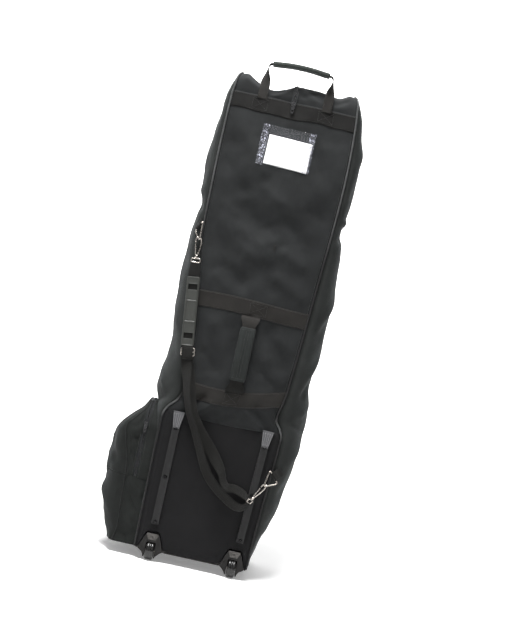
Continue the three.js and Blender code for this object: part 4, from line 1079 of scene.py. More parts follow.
def edge_cord(side):
    """The piping up the back seam, over the hood's corner and along its side."""
    sign = SIDES[side]
    rise = [(SEAM[side](z), -0.0022, z) for z in np.arange(0.030, 1.262, 0.004)]
    depths = np.concatenate([np.linspace(0.0003, 0.034, 22), np.linspace(0.038, 0.272, 50)])
    over = [(crest_x(side, y), y - 0.0022 * (1 - ease(y / 0.02)), CREST(y) + 0.0008)
            for y in depths]
    path = smooth_path(rise + over, 0.003)
    made = sweep(f"{side}_piping_cord", path, round_section(PIPING_R, 12), (0.001, -1, 0.02), PIPING,
                 "piping")
    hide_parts(f"{side}_piping")
    inside = []
    for z in np.arange(0.42, 1.205, 0.006):
        x = SEAM[side](z) - sign * 0.0062
        inside.append((x, back_y(x, z) - 0.0004, z))
    joined(f"{side}_seam_stitches", stitches(inside, BACKWARD), THREAD, "shell_fabric")


def band(name, low, high, node, boxes, look=WEB):
    """Webbing sewn across the back, with its stitching and a crossed box at each pair in `boxes`."""
    def surface(u, v):
        z = mix(low(u), high(u), v)
        x = mix(*between_seams(z, 0.002), u)
        edge = np.minimum(v, 1 - v)
        lift = WEBBING * ease(edge / 0.03) - 0.0005 * np.exp(-((edge - 0.07) / 0.02) ** 2)
        return x, back_y(x, z) - 0.0004 - lift, z

    def spot(u, v):
        return np.array([float(c) for c in surface(np.array(u), np.array(v))]) + [0, -0.0003, 0]

    made = grid(name, surface, 150, 24, look, "webbing", thickness=0.0012, along_u=True)
    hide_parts(node)
    solids = []
    for v in (0.07, 0.93):
        solids += stitches([spot(u, v) for u in np.linspace(0.01, 0.99, 60)], BACKWARD)
    for u0, u1 in boxes:
        corners = [(u0, 0.16), (u1, 0.16), (u1, 0.84), (u0, 0.84)]
        lines = list(zip(corners, corners[1:] + corners[:1]))
        lines += [(corners[0], corners[2]), (corners[1], corners[3])]
        for (a, b), (c, d) in lines:
            path = [spot(mix(a, c, t), mix(b, d, t)) for t in np.linspace(0, 1, 12)]
            solids += stitches(path, BACKWARD)
    joined(f"{name}_stitches", solids, THREAD, "webbing")


def all_bands():
    wave = lambda u: 1.209 + 0.0022 * np.sin(u * 9.5 + 0.6) + 0.0012 * np.sin(u * 21)
    band("top_band_webbing", wave, lambda u: HOOD_SEAM - 0.002, "top_band",
         [(0.17, 0.29), (0.70, 0.82)], TOP_WEB)
    level = lambda u: 0.680 + 0.003 * np.sin(u * 5)
    band("upper_band_webbing", level, lambda u: level(u) + BAND, "upper_band", [(0.48, 0.63)])
    sag = lambda u: 0.441 - 0.014 * np.sin(np.pi * u) + 0.024 * u
    band("lower_band_webbing", sag, lambda u: sag(u) + BAND, "lower_band", [(0.42, 0.57)])


# ------------------------------------------------------------------ zips

def zip_coil(path, out, half_width=0.0026, pitch=0.0015):
    """The two rows of a zip's coil, as solids for joined()."""
    line = np.asarray(path, float)
    along = distances(line)
    outs = np.broadcast_to(np.asarray(out, float), line.shape)
    side = unit(np.cross(unit(np.gradient(line, axis=0)), outs))
    solids = []
    for k, s in enumerate(np.arange(0.001, along[-1] - 0.001, pitch / 2)):
        middle, face = point_at(line, along, s), unit(point_at(outs, along, s))
        across = point_at(side, along, s) * (1 if k % 2 else -1)
        solids.append(capsule(middle - across * 0.0006, middle + across * half_width, face,
                              0.0009, 0.0016))
    return solids


def hood_zip():
    """The main zip over the hood, from the back to the front."""
    knots = [
        (-0.0098, 1.246), (-0.0092, 1.254), (-0.0074, 1.2635), (-0.0040, 1.275), (0.004, 1.2875),
        (0.017, 1.2975), (0.040, 1.3028), (0.070, 1.3040), (0.145, 1.3035), (0.215, 1.2985),
        (0.262, 1.284), (0.282, 1.267), (0.2905, 1.250),
    ]
    path = smooth_path([(0.001, y, z) for y, z in knots], 0.003)
    tangent = unit(np.gradient(path, axis=0))
    out = unit(np.cross(tangent, [1, 0, 0]))
    out = -out if out[len(out) // 2, 2] < 0 else out
    tape = sweep("hood_zip_tape", path, flat_section(0.0145, 0.0010), out, TAPE, "zip_plastic")
    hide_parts("hood_zip")
    joined("hood_zip_coil", zip_coil(path + out * 0.0007, out), COIL, "zip_plastic")
    solids = []
    for sign in (-1, 1):
        solids += stitches(path + out * 0.0006 + np.array([sign * 0.0055, 0, 0]), out)
    joined("hood_zip_stitches", solids, THREAD, "shell_fabric")


# ------------------------------------------------------------------ front

FLAP_EDGE, FLAP_SEAM = 0.012, 0.156
FLAP_LOW, FLAP_HIGH = 0.064, 1.222
FRONT_FOLDS = [
    (-0.13, 1.05, -0.03, 0.95, 0.03, 0.003), (0.03, 0.90, 0.13, 0.80, 0.03, -0.003),
    (-0.13, 0.62, -0.03, 0.55, 0.03, -0.003), (0.03, 0.50, 0.13, 0.42, 0.03, 0.003),
    (-0.12, 0.30, -0.04, 0.22, 0.03, 0.003), (0.04, 1.15, 0.13, 1.08, 0.03, 0.002),
]


def front_y(x, z):
    """The front flaps' Y, with their swell and folds."""
    u = (np.abs(x) - FLAP_EDGE) / (FLAP_SEAM - FLAP_EDGE)
    v = (z - FLAP_LOW) / (FLAP_HIGH - FLAP_LOW)
    swell = 0.010 * bulge(v, 0.4) * np.cos(np.pi / 2 * np.clip(u, 0, 1))
    edge = ease((FRONT_X - np.abs(x)) / 0.012)
    ripple = 0.0010 * soft_noise(x, z, 0.07, 31) + folds(x, z, FRONT_FOLDS)
    return mix(FRONT_EDGE_Y, DEPTH + 0.0035 + swell + ripple, edge)


def front_side(side):
    """A front flap with its half of the front zip."""
    sign = SIDES[side]
    body = f"{side}_flap"

    def surface(u, v):
        x = sign * mix(0.0085, FRONT_X - 0.0005, u)
        z = mix(0.0285, 1.238, v)
        return x, front_y(x, z), z

    flap = grid(f"{side}_flap_cloth", surface, 60, 200, SHELL, "shell_fabric", body=None,
                thickness=-sign * CLOTH)
    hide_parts(f"{side}_front_flap")
    hinge = in_frame([sign * 0.158, 0.292, 0.6])
    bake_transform(flap)
    path = np.array([(sign * 0.0054, float(front_y(sign * FLAP_EDGE, z)) + 0.0016, z)
                     for z in np.linspace(0.034, 1.236, 260)])
    tape = sweep(f"{side}_zip_tape", path, flat_section(0.0095, 0.0010), FORWARD, TAPE, "zip_plastic",
                 body=body)
    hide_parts(f"{side}_front_zip")
    teeth, tooth = [], 0.0018
    stagger = 0.0015 if side == "left" else 0
    for z in np.arange(0.040, 1.230, 0.0030):
        y = float(front_y(sign * FLAP_EDGE, z)) + 0.0026
        ends = [(sign * reach, y, z + stagger) for reach in (0.0034, 0.0003)]
        teeth.append(capsule(*ends, FORWARD, tooth, tooth))
    joined(f"{side}_zip_teeth", teeth, COIL, "zip_plastic", body=body)
    x = sign * 0.0115
    row = [(x, float(front_y(x, z)) + 0.0003, z) for z in np.linspace(0.036, 1.232, 240)]
    joined(f"{side}_flap_stitches", stitches(row, FORWARD, pitch=0.0045), THREAD, "shell_fabric",
           body=body)


def front_top():
    """The strip above the flaps, where the hood's front edge comes down."""
    def surface(u, v):
        x = mix(-FRONT_X + 0.001, FRONT_X - 0.001, u)
        return x, FRONT_EDGE_Y, mix(1.2385, 1.2445, v)

    grid("front_top_binding", surface, 60, 3, WEB, "webbing", thickness=-WEBBING, along_u=True)


# ------------------------------------------------------------------ shoe pocket

POCKET_EDGE = profile([
    (0.031, -0.221), (0.066, -0.214), (0.130, -0.218), (0.204, -0.2225), (0.247, -0.2275),
    (0.300, -0.241), (0.325, -0.2455), (0.335, -0.2450), (0.3445, -0.2400), (0.3635, -0.2240),
    (0.378, -0.2130), (0.392, -0.2040), (0.404, -0.2015),
])
POCKET_FACE = profile([
    (0.031, -0.238), (0.052, -0.247), (0.072, -0.256), (0.093, -0.263), (0.114, -0.268),
    (0.134, -0.273), (0.190, -0.277), (0.240, -0.2815), (0.270, -0.281), (0.300, -0.276),
    (0.322, -0.270), (0.341, -0.257), (0.362, -0.238), (0.382, -0.217), (0.404, -0.2035),
])
POCKET_BACK, POCKET_FRONT = 0.009, 0.252
POCKET_MIDDLE = (POCKET_BACK + POCKET_FRONT) / 2
POCKET_ROOT, POCKET_JOIN, POCKET_ZIP = -0.170, -0.1595, -0.196
POCKET_SEAM, POCKET_DOME, POCKET_TOP = 0.204, 0.338, 0.404
POCKET_CLOTH = 0.0020
POCKET_CORNER = 0.004
# The share of the way round the pocket that each of its end walls takes.
POCKET_END = 0.2
POCKET_FOLDS = [
    (0.005, 0.330, 0.085, 0.322, 0.010, 0.0040), (0.005, 0.304, 0.085, 0.300, 0.010, -0.0030),
    (0.02, 0.16, 0.10, 0.19, 0.012, 0.0035), (0.02, 0.11, 0.08, 0.15, 0.010, -0.0035),
    (0.03, 0.07, 0.10, 0.09, 0.012, 0.0030), (0.02, 0.28, 0.08, 0.31, 0.010, 0.0030),
    (0.02, 0.25, 0.09, 0.27, 0.010, -0.0030), (0.12, 0.10, 0.24, 0.16, 0.022, 0.0040),
    (0.14, 0.24, 0.26, 0.30, 0.022, -0.0040), (0.16, 0.33, 0.28, 0.29, 0.020, 0.0030),
    (0.05, 0.045, 0.14, 0.06, 0.010, -0.0035),
]


def dome_inset(z):
    """How far the pocket's domed top has drawn in from each end at a height."""
    rise = np.maximum((z - POCKET_DOME) / (POCKET_TOP - POCKET_DOME), 0)
    return 0.072 * rise ** 1.8


def pocket_place(u, z, root_x):
    """A place on the pocket's wall: u runs from one end round the outer face to the other end."""
    edge, face = POCKET_EDGE(z), POCKET_FACE(z)
    back, front = POCKET_BACK + dome_inset(z), POCKET_FRONT - dome_inset(z)
    at_back, at_front = u < POCKET_END, u > 1 - POCKET_END
    low, high = np.clip(u / POCKET_END, 0, 1), np.clip((1 - u) / POCKET_END, 0, 1)
    t = np.clip((u - POCKET_END) / (1 - 2 * POCKET_END), 0, 1)
    x = edge - (edge - face) * bulge(t ** 0.72, 0.7)
    x = np.where(at_back, mix(root_x, edge + 0.003, low), x)
    x = np.where(at_front, mix(root_x, edge + 0.003, high), x)
    y = mix(back + POCKET_CORNER, front - POCKET_CORNER, t)
    y = np.where(at_back, back + POCKET_CORNER * 0.4 * (1 - bulge(low, 0.6)), y)
    y = np.where(at_front, front - POCKET_CORNER * 0.4 * (1 - bulge(high, 0.6)), y)
    way = u * 0.62
    ripple = 1.7 * folds(way, z, POCKET_FOLDS) + 0.0026 * soft_noise(way, z, 0.030, 41)
    fade = np.where(at_back, bulge(low, 0.4), np.where(at_front, bulge(high, 0.4), bulge(t, 0.35)))
    ripple = ripple * fade
    x = x - np.where(at_back | at_front, 0, ripple)
    y = y - np.where(at_back, ripple * 0.8, 0) + np.where(at_front, ripple * 0.8, 0)
    return x, y, z


def pocket_tub():
    """The pocket's lower part, with its floor and the two welts beside its seam."""
    low = FLOOR_GAP + 0.0015

    def wall(u, v):
        return pocket_place(u, mix(low, POCKET_SEAM + 0.0006, v), POCKET_JOIN)

    def floor(u, v):
        x, y, _ = pocket_place(np.clip(u, 0, 1), np.full_like(u, 0.031), POCKET_JOIN)
        return mix(POCKET_ROOT, x, v), mix(POCKET_MIDDLE, y, v), low

    made = grid("pocket_tub_cloth", wall, 150, 60, POCKET, "shell_fabric", thickness=POCKET_CLOTH)
    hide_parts("pocket_tub")
    grid("pocket_floor_cloth", floor, 90, 12, TRAY, "moulded_plastic", thickness=0.0018)
    path = smooth_path([(mix(POCKET_JOIN, -0.224, t), POCKET_BACK - 0.0008, POCKET_SEAM)
                        for t in np.linspace(0, 1, 6)], 0.003)
    welt = flat_section(0.0045, 0.0022)
    sweep("pocket_back_welt", path, welt, BACKWARD, POCKET, "shell_fabric")
    front = path * [1, 0, 1] + [0, POCKET_FRONT + 0.0008, 0]
    sweep("pocket_front_welt", front, welt, FORWARD, POCKET, "shell_fabric")


def arch(x, inside=0.0):
    """Points over the pocket from the back seam, over the dome and down the front."""
    rise = [(x, POCKET_BACK + inside, z) for z in np.linspace(POCKET_SEAM, POCKET_DOME, 18)]
    rise += [(x, POCKET_BACK + float(dome_inset(z)) + inside, z - inside)
             for z in np.linspace(POCKET_DOME, POCKET_TOP, 26)[1:]]
    rise = np.array(rise)
    down = rise[::-1] * [1, -1, 1] + [0, POCKET_BACK + POCKET_FRONT, 0]
    return smooth_path(np.concatenate([rise, down]), 0.004)


def pocket_rim():
    line = arch(0.0)
    count = len(line) - 1

    def surface(u, v):
        at = np.clip(u * count, 0, count)
        y = np.interp(at, np.arange(count + 1), line[:, 1])
        z = np.interp(at, np.arange(count + 1), line[:, 2])
        x = mix(POCKET_JOIN, POCKET_ZIP + 0.006, v)
        puff = 0.0022 * bulge(v, 0.7) + 0.0006 * soft_noise(x, u * 0.6, 0.02, 44)
        outward = np.sign(y - POCKET_MIDDLE)
        steep = ease((0.36 - z) / 0.05)
        return x, y + outward * puff * steep, z + puff * (1 - steep) - 0.001

    made = grid("pocket_rim_cloth", surface, 160, 14, POCKET, "shell_fabric", thickness=-0.0018)
    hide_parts("pocket_rim")


def pocket_zip():
    """The zip over the dome: its tape and one row of teeth on the rim, the other on the door."""
    path = arch(POCKET_ZIP + 0.0008, inside=-0.0006)
    middle = np.array([0, POCKET_MIDDLE, 0.25])
    tangent = unit(np.gradient(path, axis=0))
    out = unit(np.cross(tangent, [1, 0, 0]))
    out = np.where(((path - middle) * out * [0, 1, 1]).sum(1, keepdims=True) < 0, -out, out)
    for name, body, way in (("rim", "root", 1), ("door", "pocket_door", -1)):
        sweep(f"pocket_zip_{name}_tape", path + np.array([way * 0.0056, 0, 0]),
              flat_section(0.0088, 0.0009), out, TAPE, "shell_fabric", body=body)
        edge = path + np.array([way * 0.0088, 0, 0]) + out * 0.0008
        sweep(f"pocket_zip_{name}_lip", edge, flat_section(0.0036, 0.0018), out, POCKET,
              "shell_fabric", body=body)
        joined(f"pocket_zip_{name}_stitches", stitches(edge + out * 0.0010, out), THREAD,
               "shell_fabric", body=body)
        rows = smooth_path(np.hstack([path, out]), 0.0024)
        stagger = [0, 0, 0.0012 if way > 0 else 0]
        teeth = [capsule(p + [way * 0.0002, 0, 0], p + [way * 0.0030, 0, 0], o, 0.0013, 0.0016)
                 for p, o in zip(rows[:, :3] + stagger, rows[:, 3:])]
        joined(f"pocket_zip_{name}_teeth", teeth, COIL, "shell_fabric", body=body)


def pocket_door():
    def surface(u, v):
        z = mix(POCKET_SEAM + 0.0014, POCKET_TOP, v ** 0.85)
        return pocket_place(u, z, POCKET_ZIP - 0.0045)

    made = grid("pocket_door_cloth", surface, 150, 80, POCKET, "shell_fabric",
                thickness=POCKET_CLOTH, body="pocket_door")
    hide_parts("pocket_door")


def pocket_piping():
    """Piping down the pocket's outer corners, over the top with the door."""
    for name, low, high, body in (("door", POCKET_SEAM + 0.003, POCKET_TOP - 0.001, "pocket_door"),
                                  ("tub", 0.031, POCKET_SEAM, "root")):
        heights = np.linspace(low, high, 50)
        back = np.array([(POCKET_EDGE(z) + 0.0015, POCKET_BACK + dome_inset(z) - 0.0005, z)
                         for z in heights])
        front = np.array([(x, POCKET_BACK + POCKET_FRONT - y, z) for x, y, z in back])
        lines = [back, front]
        if name == "door":
            lines = [np.concatenate([back, front[::-1]])]
        for i, line in enumerate(lines):
            sweep(f"pocket_{name}_piping_{i}", smooth_path(line, 0.003), round_section(0.0021, 10),
                  (1, 0.001, 0.02), POCKET_PIPING_PAINTED_SHADE, "piping", body=body)


# ------------------------------------------------------------------ window, handles

def name_window():
    """The name card behind its clear film, whose welded edges are crinkled."""
    z0, z1, x0, x1 = 1.075, 1.182, -0.064, 0.077
    clear_from, clear_to = 0.12, 0.885

    def card(u, v):
        x, z = mix(-0.044, 0.072, u) + 0.001 * v, mix(1.079, 1.157, v) - 0.003 * u
        return x, back_y(x, z) - 0.0022, z

    made = grid("card_sheet", card, 30, 20, CARD, "paper_card", thickness=0.0004)
    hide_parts("id_card")

    def crinkled(u, v):
        x, z = mix(x0, x1, u), mix(z0, z1, v)
        side = np.minimum(x - x0, x1 - x)
        crush = ease((0.017 - side) / 0.008) + 0.35 * ease((0.010 - (z - z0)) / 0.006)
        crush = np.clip(crush + 0.5 * ease((z - z1 + 0.014) / 0.008), 0, 1)
        fine = soft_noise(x, z, 0.0035, 51) + 0.7 * soft_noise(x, z, 0.0018, 52)
        slow = 0.0012 * soft_noise(x, z, 0.03, 53)
        lift = 0.0034 + np.abs(fine) * 0.0011 * crush + slow * (1 - crush)
        return x, back_y(x, z) - lift, z

    clear = grid("window_film", crinkled, 90, 70, VINYL, "clear_vinyl", thickness=0.0003,
                 keep=lambda u, v: clear_from < u < clear_to)
    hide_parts("id_window")
    grid("window_weld", crinkled, 140, 106, WELD, "clear_vinyl", thickness=0.0005,
         keep=lambda u, v: not clear_from < u < clear_to)
    rows = []
    inset = 0.0035
    corners = [(x0 + inset, z0 + inset), (x1 - inset, z0 + inset), (x1 - inset, z1 - inset),
               (x0 + inset, z1 - inset)]
    for (xa, za), (xb, zb) in zip(corners, corners[1:] + corners[:1]):
        places = [(mix(xa, xb, t), mix(za, zb, t)) for t in np.linspace(0, 1, 20)]
        line = [(x, float(back_y(x, z)) - 0.0044, z) for x, z in places]
        rows += stitches(line, BACKWARD, pitch=0.0042)
    joined("window_stitches", rows, THREAD, "webbing")


def sleeve(name, path, facing, width, thickness, look, slot, body, node, groove=0.0, sides=44):
    """A padded sleeve round webbing, flat and round-edged, open at both ends."""
    a = np.arange(sides) / sides * 2 * np.pi
    x = width / 2 * np.sign(np.cos(a)) * np.abs(np.cos(a)) ** 0.5
    y = thickness / 2 * np.sign(np.sin(a)) * np.abs(np.sin(a)) ** 0.6
    y = y - np.sign(y) * groove * np.exp(-(x / (width * 0.05)) ** 2)
    section = np.stack([x, y], axis=1)
    length = np.linspace(0, 1, len(path))
    taper = 1 - 0.10 * np.exp(-(np.minimum(length, 1 - length) / 0.02) ** 2)
    made = sweep(name, path, section, facing, look, slot, body=body, taper=taper)
    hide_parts(node)
    return made


def top_handle():
    """Webbing from the top band up into an arch, with a padded grip."""
    left, right = -0.083, 0.089

    def leg(x, sign):
        return [
            (x, -0.0088, 1.244, *BACKWARD), (x, -0.0096, 1.256, *BACKWARD),
            (x, -0.0105, 1.275, sign * 0.1, -1, 0), (x, -0.010, 1.294, sign * 0.5, -0.9, 0),
            (x + sign * 0.001, -0.0095, 1.311, sign * 0.9, -0.4, 0),
            (x + sign * 0.001, -0.009, 1.325, sign, -0.1, 0.1),
            (x - sign * 0.001, -0.009, 1.333, sign * 0.8, 0, 0.6),
            (x - sign * 0.005, -0.009, 1.3375, sign * 0.4, 0, 1),
        ]

    middle = [(x + 0.002, -0.009, 1.344 - 0.001 * (x / 0.030) ** 2, 0, 0, 1)
              for x in (-0.060, -0.030, 0, 0.030, 0.060)]
    rows = leg(left, -1) + middle + leg(right, 1)[::-1]
    path = smooth_path(rows, 0.002)
    points, facing = path[:, :3], unit(path[:, 3:])
    made = sweep("top_handle_strap", points, flat_section(0.026, WEBBING), facing, WEB, "webbing",
                 body=None)
    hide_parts("top_handle_webbing")
    foot = in_frame([0, -0.0095, 1.250])
    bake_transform(made)
    held = (points[:, 0] > -0.0745) & (points[:, 0] < 0.0795) & (points[:, 2] > 1.336)
    grip = sleeve("top_handle_sleeve", points[held], facing[held], 0.034, 0.0118, GRIP, "grip_wrap",
                  "top_handle", node="top_handle_grip")
    seam = points[held][3:-3] - facing[held][3:-3] * 0.0060
    joined("top_handle_stitches", stitches(seam, (0, -0.5, -1)), THREAD, "grip_wrap",
           body="top_handle")
    sides = []
    for x in (left, right):
        for off in (-0.0105, 0.0105):
            line = [(x + off, -0.0112, z) for z in (1.257, 1.266, 1.274)]
            sides += stitches(line, BACKWARD)
    legs = joined("top_handle_leg_stitches", sides, THREAD, "webbing", body=None)
    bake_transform(legs)


def carry_handle():
    """Webbing from the upper band to the lower one, standing off the back, with a padded grip."""
    x, low, high = 0.0126, 0.494, 0.666
    on_cloth = lambda z, out: (x, float(back_y(x, z)) - out, z, *BACKWARD)
    depth = lambda z: -0.027 - 0.013 * float(bulge((z - low) / (high - low), 0.7))
    middle = [(x, depth(z), z, *BACKWARD) for z in np.linspace(0.508, 0.652, 9)]
    top = [on_cloth(0.688, 0.0008), on_cloth(0.681, 0.0012), (x, -0.0225, 0.674, 0, -0.9, 0.45),
           (x, -0.0280, high, 0, -0.92, 0.4)]
    bottom = [(x, -0.0285, low, 0, -0.92, -0.4), (x, -0.0240, 0.486, 0, -0.9, -0.45),
              on_cloth(0.478, 0.0012), on_cloth(0.470, 0.0008)]
    path = smooth_path(top + middle[::-1] + bottom, 0.002)
    points, facing = path[:, :3], unit(path[:, 3:])
    half = len(points) // 2
    flare = 0.80 + 0.36 * ease((np.abs(points[:, 2] - 0.580) - 0.072) / 0.024)
    # The lower strap, which faces down, is drawn in the darker strap webbing as painted shade; the
    # upper one uses the plain webbing.
    for name, part, start, end, node, look in (
            ("upper", slice(0, half + 2), 0.684, 0.655, "carry_handle_webbing", WEB),
            ("lower", slice(half - 2, None), 0.478, 0.505, None, STRAP_WEB)):
        made = sweep(f"carry_handle_{name}_strap", points[part], flat_section(0.0425, WEBBING),
                     facing[part], look, "webbing", body=None, taper=flare[part])
        if node:
            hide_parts(node)
        tuple(in_frame([x, -0.02, start]))
        tuple(in_frame([x, -0.02, end]))
        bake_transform(made)
    held = (points[:, 2] > 0.510) & (points[:, 2] < 0.652)
    grip = sleeve("carry_handle_sleeve", points[held], facing[held], 0.041, 0.0105, CARRY_GRIP,
                  "grip_wrap", "carry_handle", groove=0.0016, node="carry_handle_grip")
    solids = []
    for off in (-0.0035, 0.0035):
        line = points[held][4:-4] + facing[held][4:-4] * 0.0049 + np.array([off, 0, 0])
        solids += stitches(line, BACKWARD)
    for end in (3, -4):
        p, f = points[held][end], facing[held][end]
        solids += stitches([p + f * 0.0052 + np.array([t, 0, 0]) for t in (-0.016, 0, 0.016)], f)
    joined("carry_handle_stitches", solids, THREAD, "grip_wrap", body="carry_handle")


# ------------------------------------------------------------------ wheels and inside

def wheel(side):
    """A tyre with two grooves: its outline holds (radius, width) in millimetres and joins up."""
    x = WHEELS[side]
    outline = [
        (3.4, -10), (8, -11), (10.6, -10.4), (11.4, -9.2), (17.6, -9.2), (18.6, -10.6), (20.6, -11),
        (23.2, -10.2), (24.4, -8.6), (24.9, -6), (24.9, -2.6), (24.5, -2.2), (24.5, -1.8), (24.9, -1.4),
        (24.9, 1.4), (24.5, 1.8), (24.5, 2.2), (24.9, 2.6), (24.9, 6), (24.4, 8.6), (23.2, 10.2),
        (20.6, 11), (18.6, 10.6), (17.6, 9.2), (11.4, 9.2), (10.6, 10.4), (8, 11), (3.4, 10),
    ]
    rows, segments = len(outline), 72

    def place(points):
        p = np.array(points) / 1000
        return np.stack([p[:, 2] + x, p[:, 0] + AXLE_Y, p[:, 1] + AXLE_Z], axis=1)

    angles = [2 * math.pi * i / segments for i in range(segments)]
    points = [(r * math.cos(a), r * math.sin(a), z) for r, z in outline for a in angles]
    faces = []
    for k in range(rows):
        n = (k + 1) % rows
        for i in range(segments):
            j = (i + 1) % segments
            faces.append((k * segments + i, n * segments + i, n * segments + j, k * segments + j))
    made = piece(f"{side}_wheel_tyre", place(points), faces, TYRE, "rubber", body=f"{side}_wheel")
    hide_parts(f"{side}_wheel")


def inside_pieces():
    """The hood's quilted padding and the two compression straps with their buckles."""
    def foam(u, v):
        z = mix(0.985, 1.196, v)
        x = mix(*between_seams(z, 0.016), u)
        quilt = np.abs(np.sin(u * np.pi * 5)) * np.abs(np.sin(v * np.pi * 4))
        return x, back_y(x, z) + 0.0085 + 0.006 * bulge(u, 0.3) * bulge(v, 0.3) * quilt ** 0.5, z

    made = grid("hood_foam_quilt", foam, 90, 70, LINING, "foam", thickness=0.005)
    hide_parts("hood_foam")
    for name, level in (("upper", 0.860), ("lower", 0.560)):
        def tape(u, v):
            z = level + mix(-0.019, 0.019, v)
            x = mix(*between_seams(z, 0.014), u)
            return x, back_y(x, z) + 0.0062, z

        made = grid(f"inner_strap_{name}_webbing", tape, 60, 6, WEB, "webbing", thickness=0.0014,
                    along_u=True)
        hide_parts(f"inner_strap_{name}")
        buckle(f"inner_strap_{name}_buckle", level)


def buckle(name, level):
    """A closed side-release buckle, waisted where its two halves meet."""
    y = float(back_y(0.006, level)) + 0.0125
    start, end = -0.024, 0.036
    outline = profile([
        (start, 0.017), (-0.019, 0.021), (-0.004, 0.021), (0.002, 0.018), (0.010, 0.021),
        (0.030, 0.021), (end, 0.017),
    ])

    def shell(u, v):
        a = 2 * np.pi * u
        x = mix(start, end, v)
        z = outline(x) * np.sign(np.cos(a)) * np.abs(np.cos(a)) ** 0.4
        return x, y - 0.005 * np.sign(np.sin(a)) * np.abs(np.sin(a)) ** 0.5, level + z

    grid(name, shell, 40, 40, HOUSING, "moulded_plastic", closed=True, thickness=0.0012)


RAMP_LEAN = math.tan(0.15)


def rail_ribs(side):
    """The ridges of a rail's ramp, between its grooves, pale as a painted highlight, and the ramp's
    face, made paler as painted light where it faces up.
    """
    low, high = {"left": (-0.1165, -0.1165), "right": (0.111, 0.1225)}[side]
    length, neck, foot, face_y = 0.302, 0.262, 0.096, -0.0123
    turn = math.atan2(high - low, length)

    def on_ramp(off, along, out):
        """A place on the ramp: off its middle line, along the rail and out from its face."""
        return (low + off * math.cos(turn) + along * math.sin(turn), face_y + out,
                foot - off * math.sin(turn) + along * math.cos(turn))

    solids = []
    for share in (-1.0, -0.5, 0.0, 0.5, 1.0):
        ends = [on_ramp(share * half, along, max(along - neck, 0) * RAMP_LEAN)
                for along, half in ((neck - 0.004, 0.0068), (length - 0.002, 0.0128))]
        solids.append(capsule(*ends, np.array([0, -1.0, 0.15]), 0.0034, 0.0018))
    joined(f"{side}_ramp_ribs", solids, RIB_PAINTED_HIGHLIGHT, "moulded_plastic")
    corners = [on_ramp(off, along, depth + (along - neck) * RAMP_LEAN) for depth in (-0.0004, 0.0012)
               for along, off in ((neck, -0.0078), (neck, 0.0078), (length, 0.0146), (length, -0.0146))]
    sides = [(0, 1, 2, 3), (7, 6, 5, 4), (0, 4, 5, 1), (1, 5, 6, 2), (2, 6, 7, 3), (3, 7, 4, 0)]
    joined(f"{side}_ramp_face", [(corners, sides)], RAMP, "moulded_plastic", smooth=False)


def housing_skirt(side):
    """The housing's lower edge, which sweeps up from the wheel to the bag's bottom on each side."""
    x, solids = WHEELS[side], []
    for sign in (-1, 1):
        reach = 0.037 if sign == SIDES[side] else 0.047
        outline = []
        for t in np.linspace(0, 1, 14):
            across = mix(0.0150, reach, t)
            outline.append((x + sign * across, mix(0.0085, 0.0300, 1 - (1 - t) ** 2.1)))
        outline += [(x + sign * 0.030, 0.0330), (x + sign * 0.0150, 0.0330)]
        count = len(outline)
        points = [(px, y, pz) for y in (-0.0040, 0.0015) for px, pz in outline]
        faces = [tuple(range(count)), tuple(reversed(range(count, 2 * count)))]
        faces += [(i, i + count, (i + 1) % count + count, (i + 1) % count) for i in range(count)]
        if sign < 0:
            faces = [tuple(reversed(face)) for face in faces]
        solids.append((points, faces))
    joined(f"{side}_housing_skirt", solids, HOUSING, "moulded_plastic", smooth=False)


# ------------------------------------------------------------------ make everything

upper_back()
lower_back()
for a_side in SIDES:
    side_gusset(a_side)
    hood_half(a_side)
    edge_cord(a_side)
    front_side(a_side)
    wheel(a_side)
front_top()
all_bands()
hood_zip()
pocket_tub()
pocket_rim()
pocket_door()
pocket_zip()
pocket_piping()
name_window()
top_handle()
carry_handle()
inside_pieces()
for a_side in SIDES:
    rail_ribs(a_side)
    housing_skirt(a_side)

# The CAD nodes that stay in view: each one's look, and the width of its bevel, if it has one.
KEPT_NODES = {
    "base_tray": (TRAY, 0.0012), "front_feet": (FOOT, 0.0015), "main_zip_slider": (DARK_STEEL, 0.0004),
    "main_zip_pull": (DARK_STEEL, 0.0003), "pocket_zip_slider": (DARK_STEEL, 0.0003),
    "pocket_zip_pull": (DARK_STEEL, 0.0003),
}
for a_side in SIDES:
    KEPT_NODES.update({
        f"{a_side}_skid_rail": (RAIL, 0.0007), f"{a_side}_rail_screws": (SCREW, None),
        f"{a_side}_wheel_housing": (HOUSING, 0.0010), f"{a_side}_housing_plate": (PLATE, None),
        f"{a_side}_axle": (NICKEL, None),
    })
for node, (look, bevel_width) in KEPT_NODES.items():
    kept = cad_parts[node]
    kept.data.materials.clear()
    kept.data.materials.append(look)
    if bevel_width:
        bevel = kept.modifiers.new("bevel", "BEVEL")
        bevel.width, bevel.segments = bevel_width, 3
        bevel.limit_method, bevel.angle_limit = "ANGLE", math.radians(35)

# ------------------------------------------------------------------ floor and light


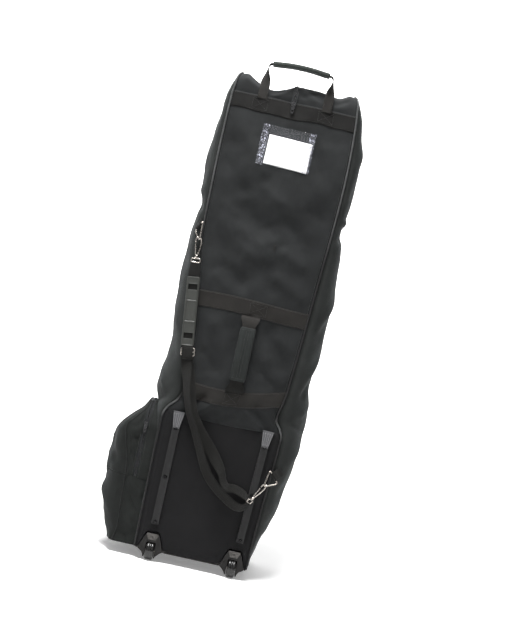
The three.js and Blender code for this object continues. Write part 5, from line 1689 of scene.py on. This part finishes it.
def stage():
    """A pale floor that sweeps up into a backdrop, and glows as painted light: faintly under and in
    front of the bag, strongly behind it.
    """
    look = Look("studio_paper", (0.90, 0.90, 0.90), 0.9)
    away = look.parts(look.where("Object"))[1]
    # Painted light: the paper glows at strength 0.24 up to Y = 0.7 m, rising to 0.90 from Y = 2.6 m, so
    # the far floor and backdrop read white.
    look.put(look.shader, "Emission Strength", look.spread(away, 0.7, 2.6, 0.24, 0.90))
    look.put(look.shader, "Emission Color", (1, 1, 1, 1))
    near, far, bend, top, half_width = -7.0, 4.2, 1.2, 8.0, 7.0
    line = [(near, 0.0), (far, 0.0)]
    line += [(far + bend * math.sin(a), bend - bend * math.cos(a))
             for a in np.linspace(0.1, math.pi / 2, 12)]
    line += [(far + bend, top)]
    points = [(x, y, z) for y, z in line for x in (-half_width, half_width)]
    faces = [(2 * i, 2 * i + 1, 2 * i + 3, 2 * i + 2) for i in range(len(line) - 1)]
    floor = piece("studio_floor", points, faces, look.material, None, body=None)
    floor.location.z = -0.0004


def area_light(name, place, aim, size, power):
    data = bpy.data.lights.new(name, "AREA")
    data.shape, data.size, data.size_y = "RECTANGLE", size[0], size[1]
    data.energy = power
    light = bpy.data.objects.new(name, data)
    bpy.context.scene.collection.objects.link(light)
    light.location = place
    light.rotation_euler = (Vector(aim) - Vector(place)).to_track_quat("-Z", "Y").to_euler()


stage()
area_light("key", (-0.4, -1.0, 3.4), (0.05, -0.1, 0.75), (1.2, 0.9), 205)
area_light("front", (0.6, -3.2, 1.9), (0.05, -0.1, 0.6), (1.2, 1.2), 9)
area_light("left", (-2.6, -1.2, 1.6), (0.05, -0.1, 0.6), (1.0, 1.6), 6)
area_light("top", (0.2, 0.5, 3.4), (0.0, 0.0, 0.8), (2.0, 1.4), 40)
area_light("rear", (0.0, 2.8, 3.4), (0.0, 5.4, 1.2), (3.0, 1.0), 90)
world = bpy.data.worlds.new("studio")
world.use_nodes = True
world.node_tree.nodes["Background"].inputs[0].default_value = (1, 1, 1, 1)
world.node_tree.nodes["Background"].inputs[1].default_value = 0.07
bpy.context.scene.world = world
bpy.context.scene.view_settings.view_transform = "Standard"
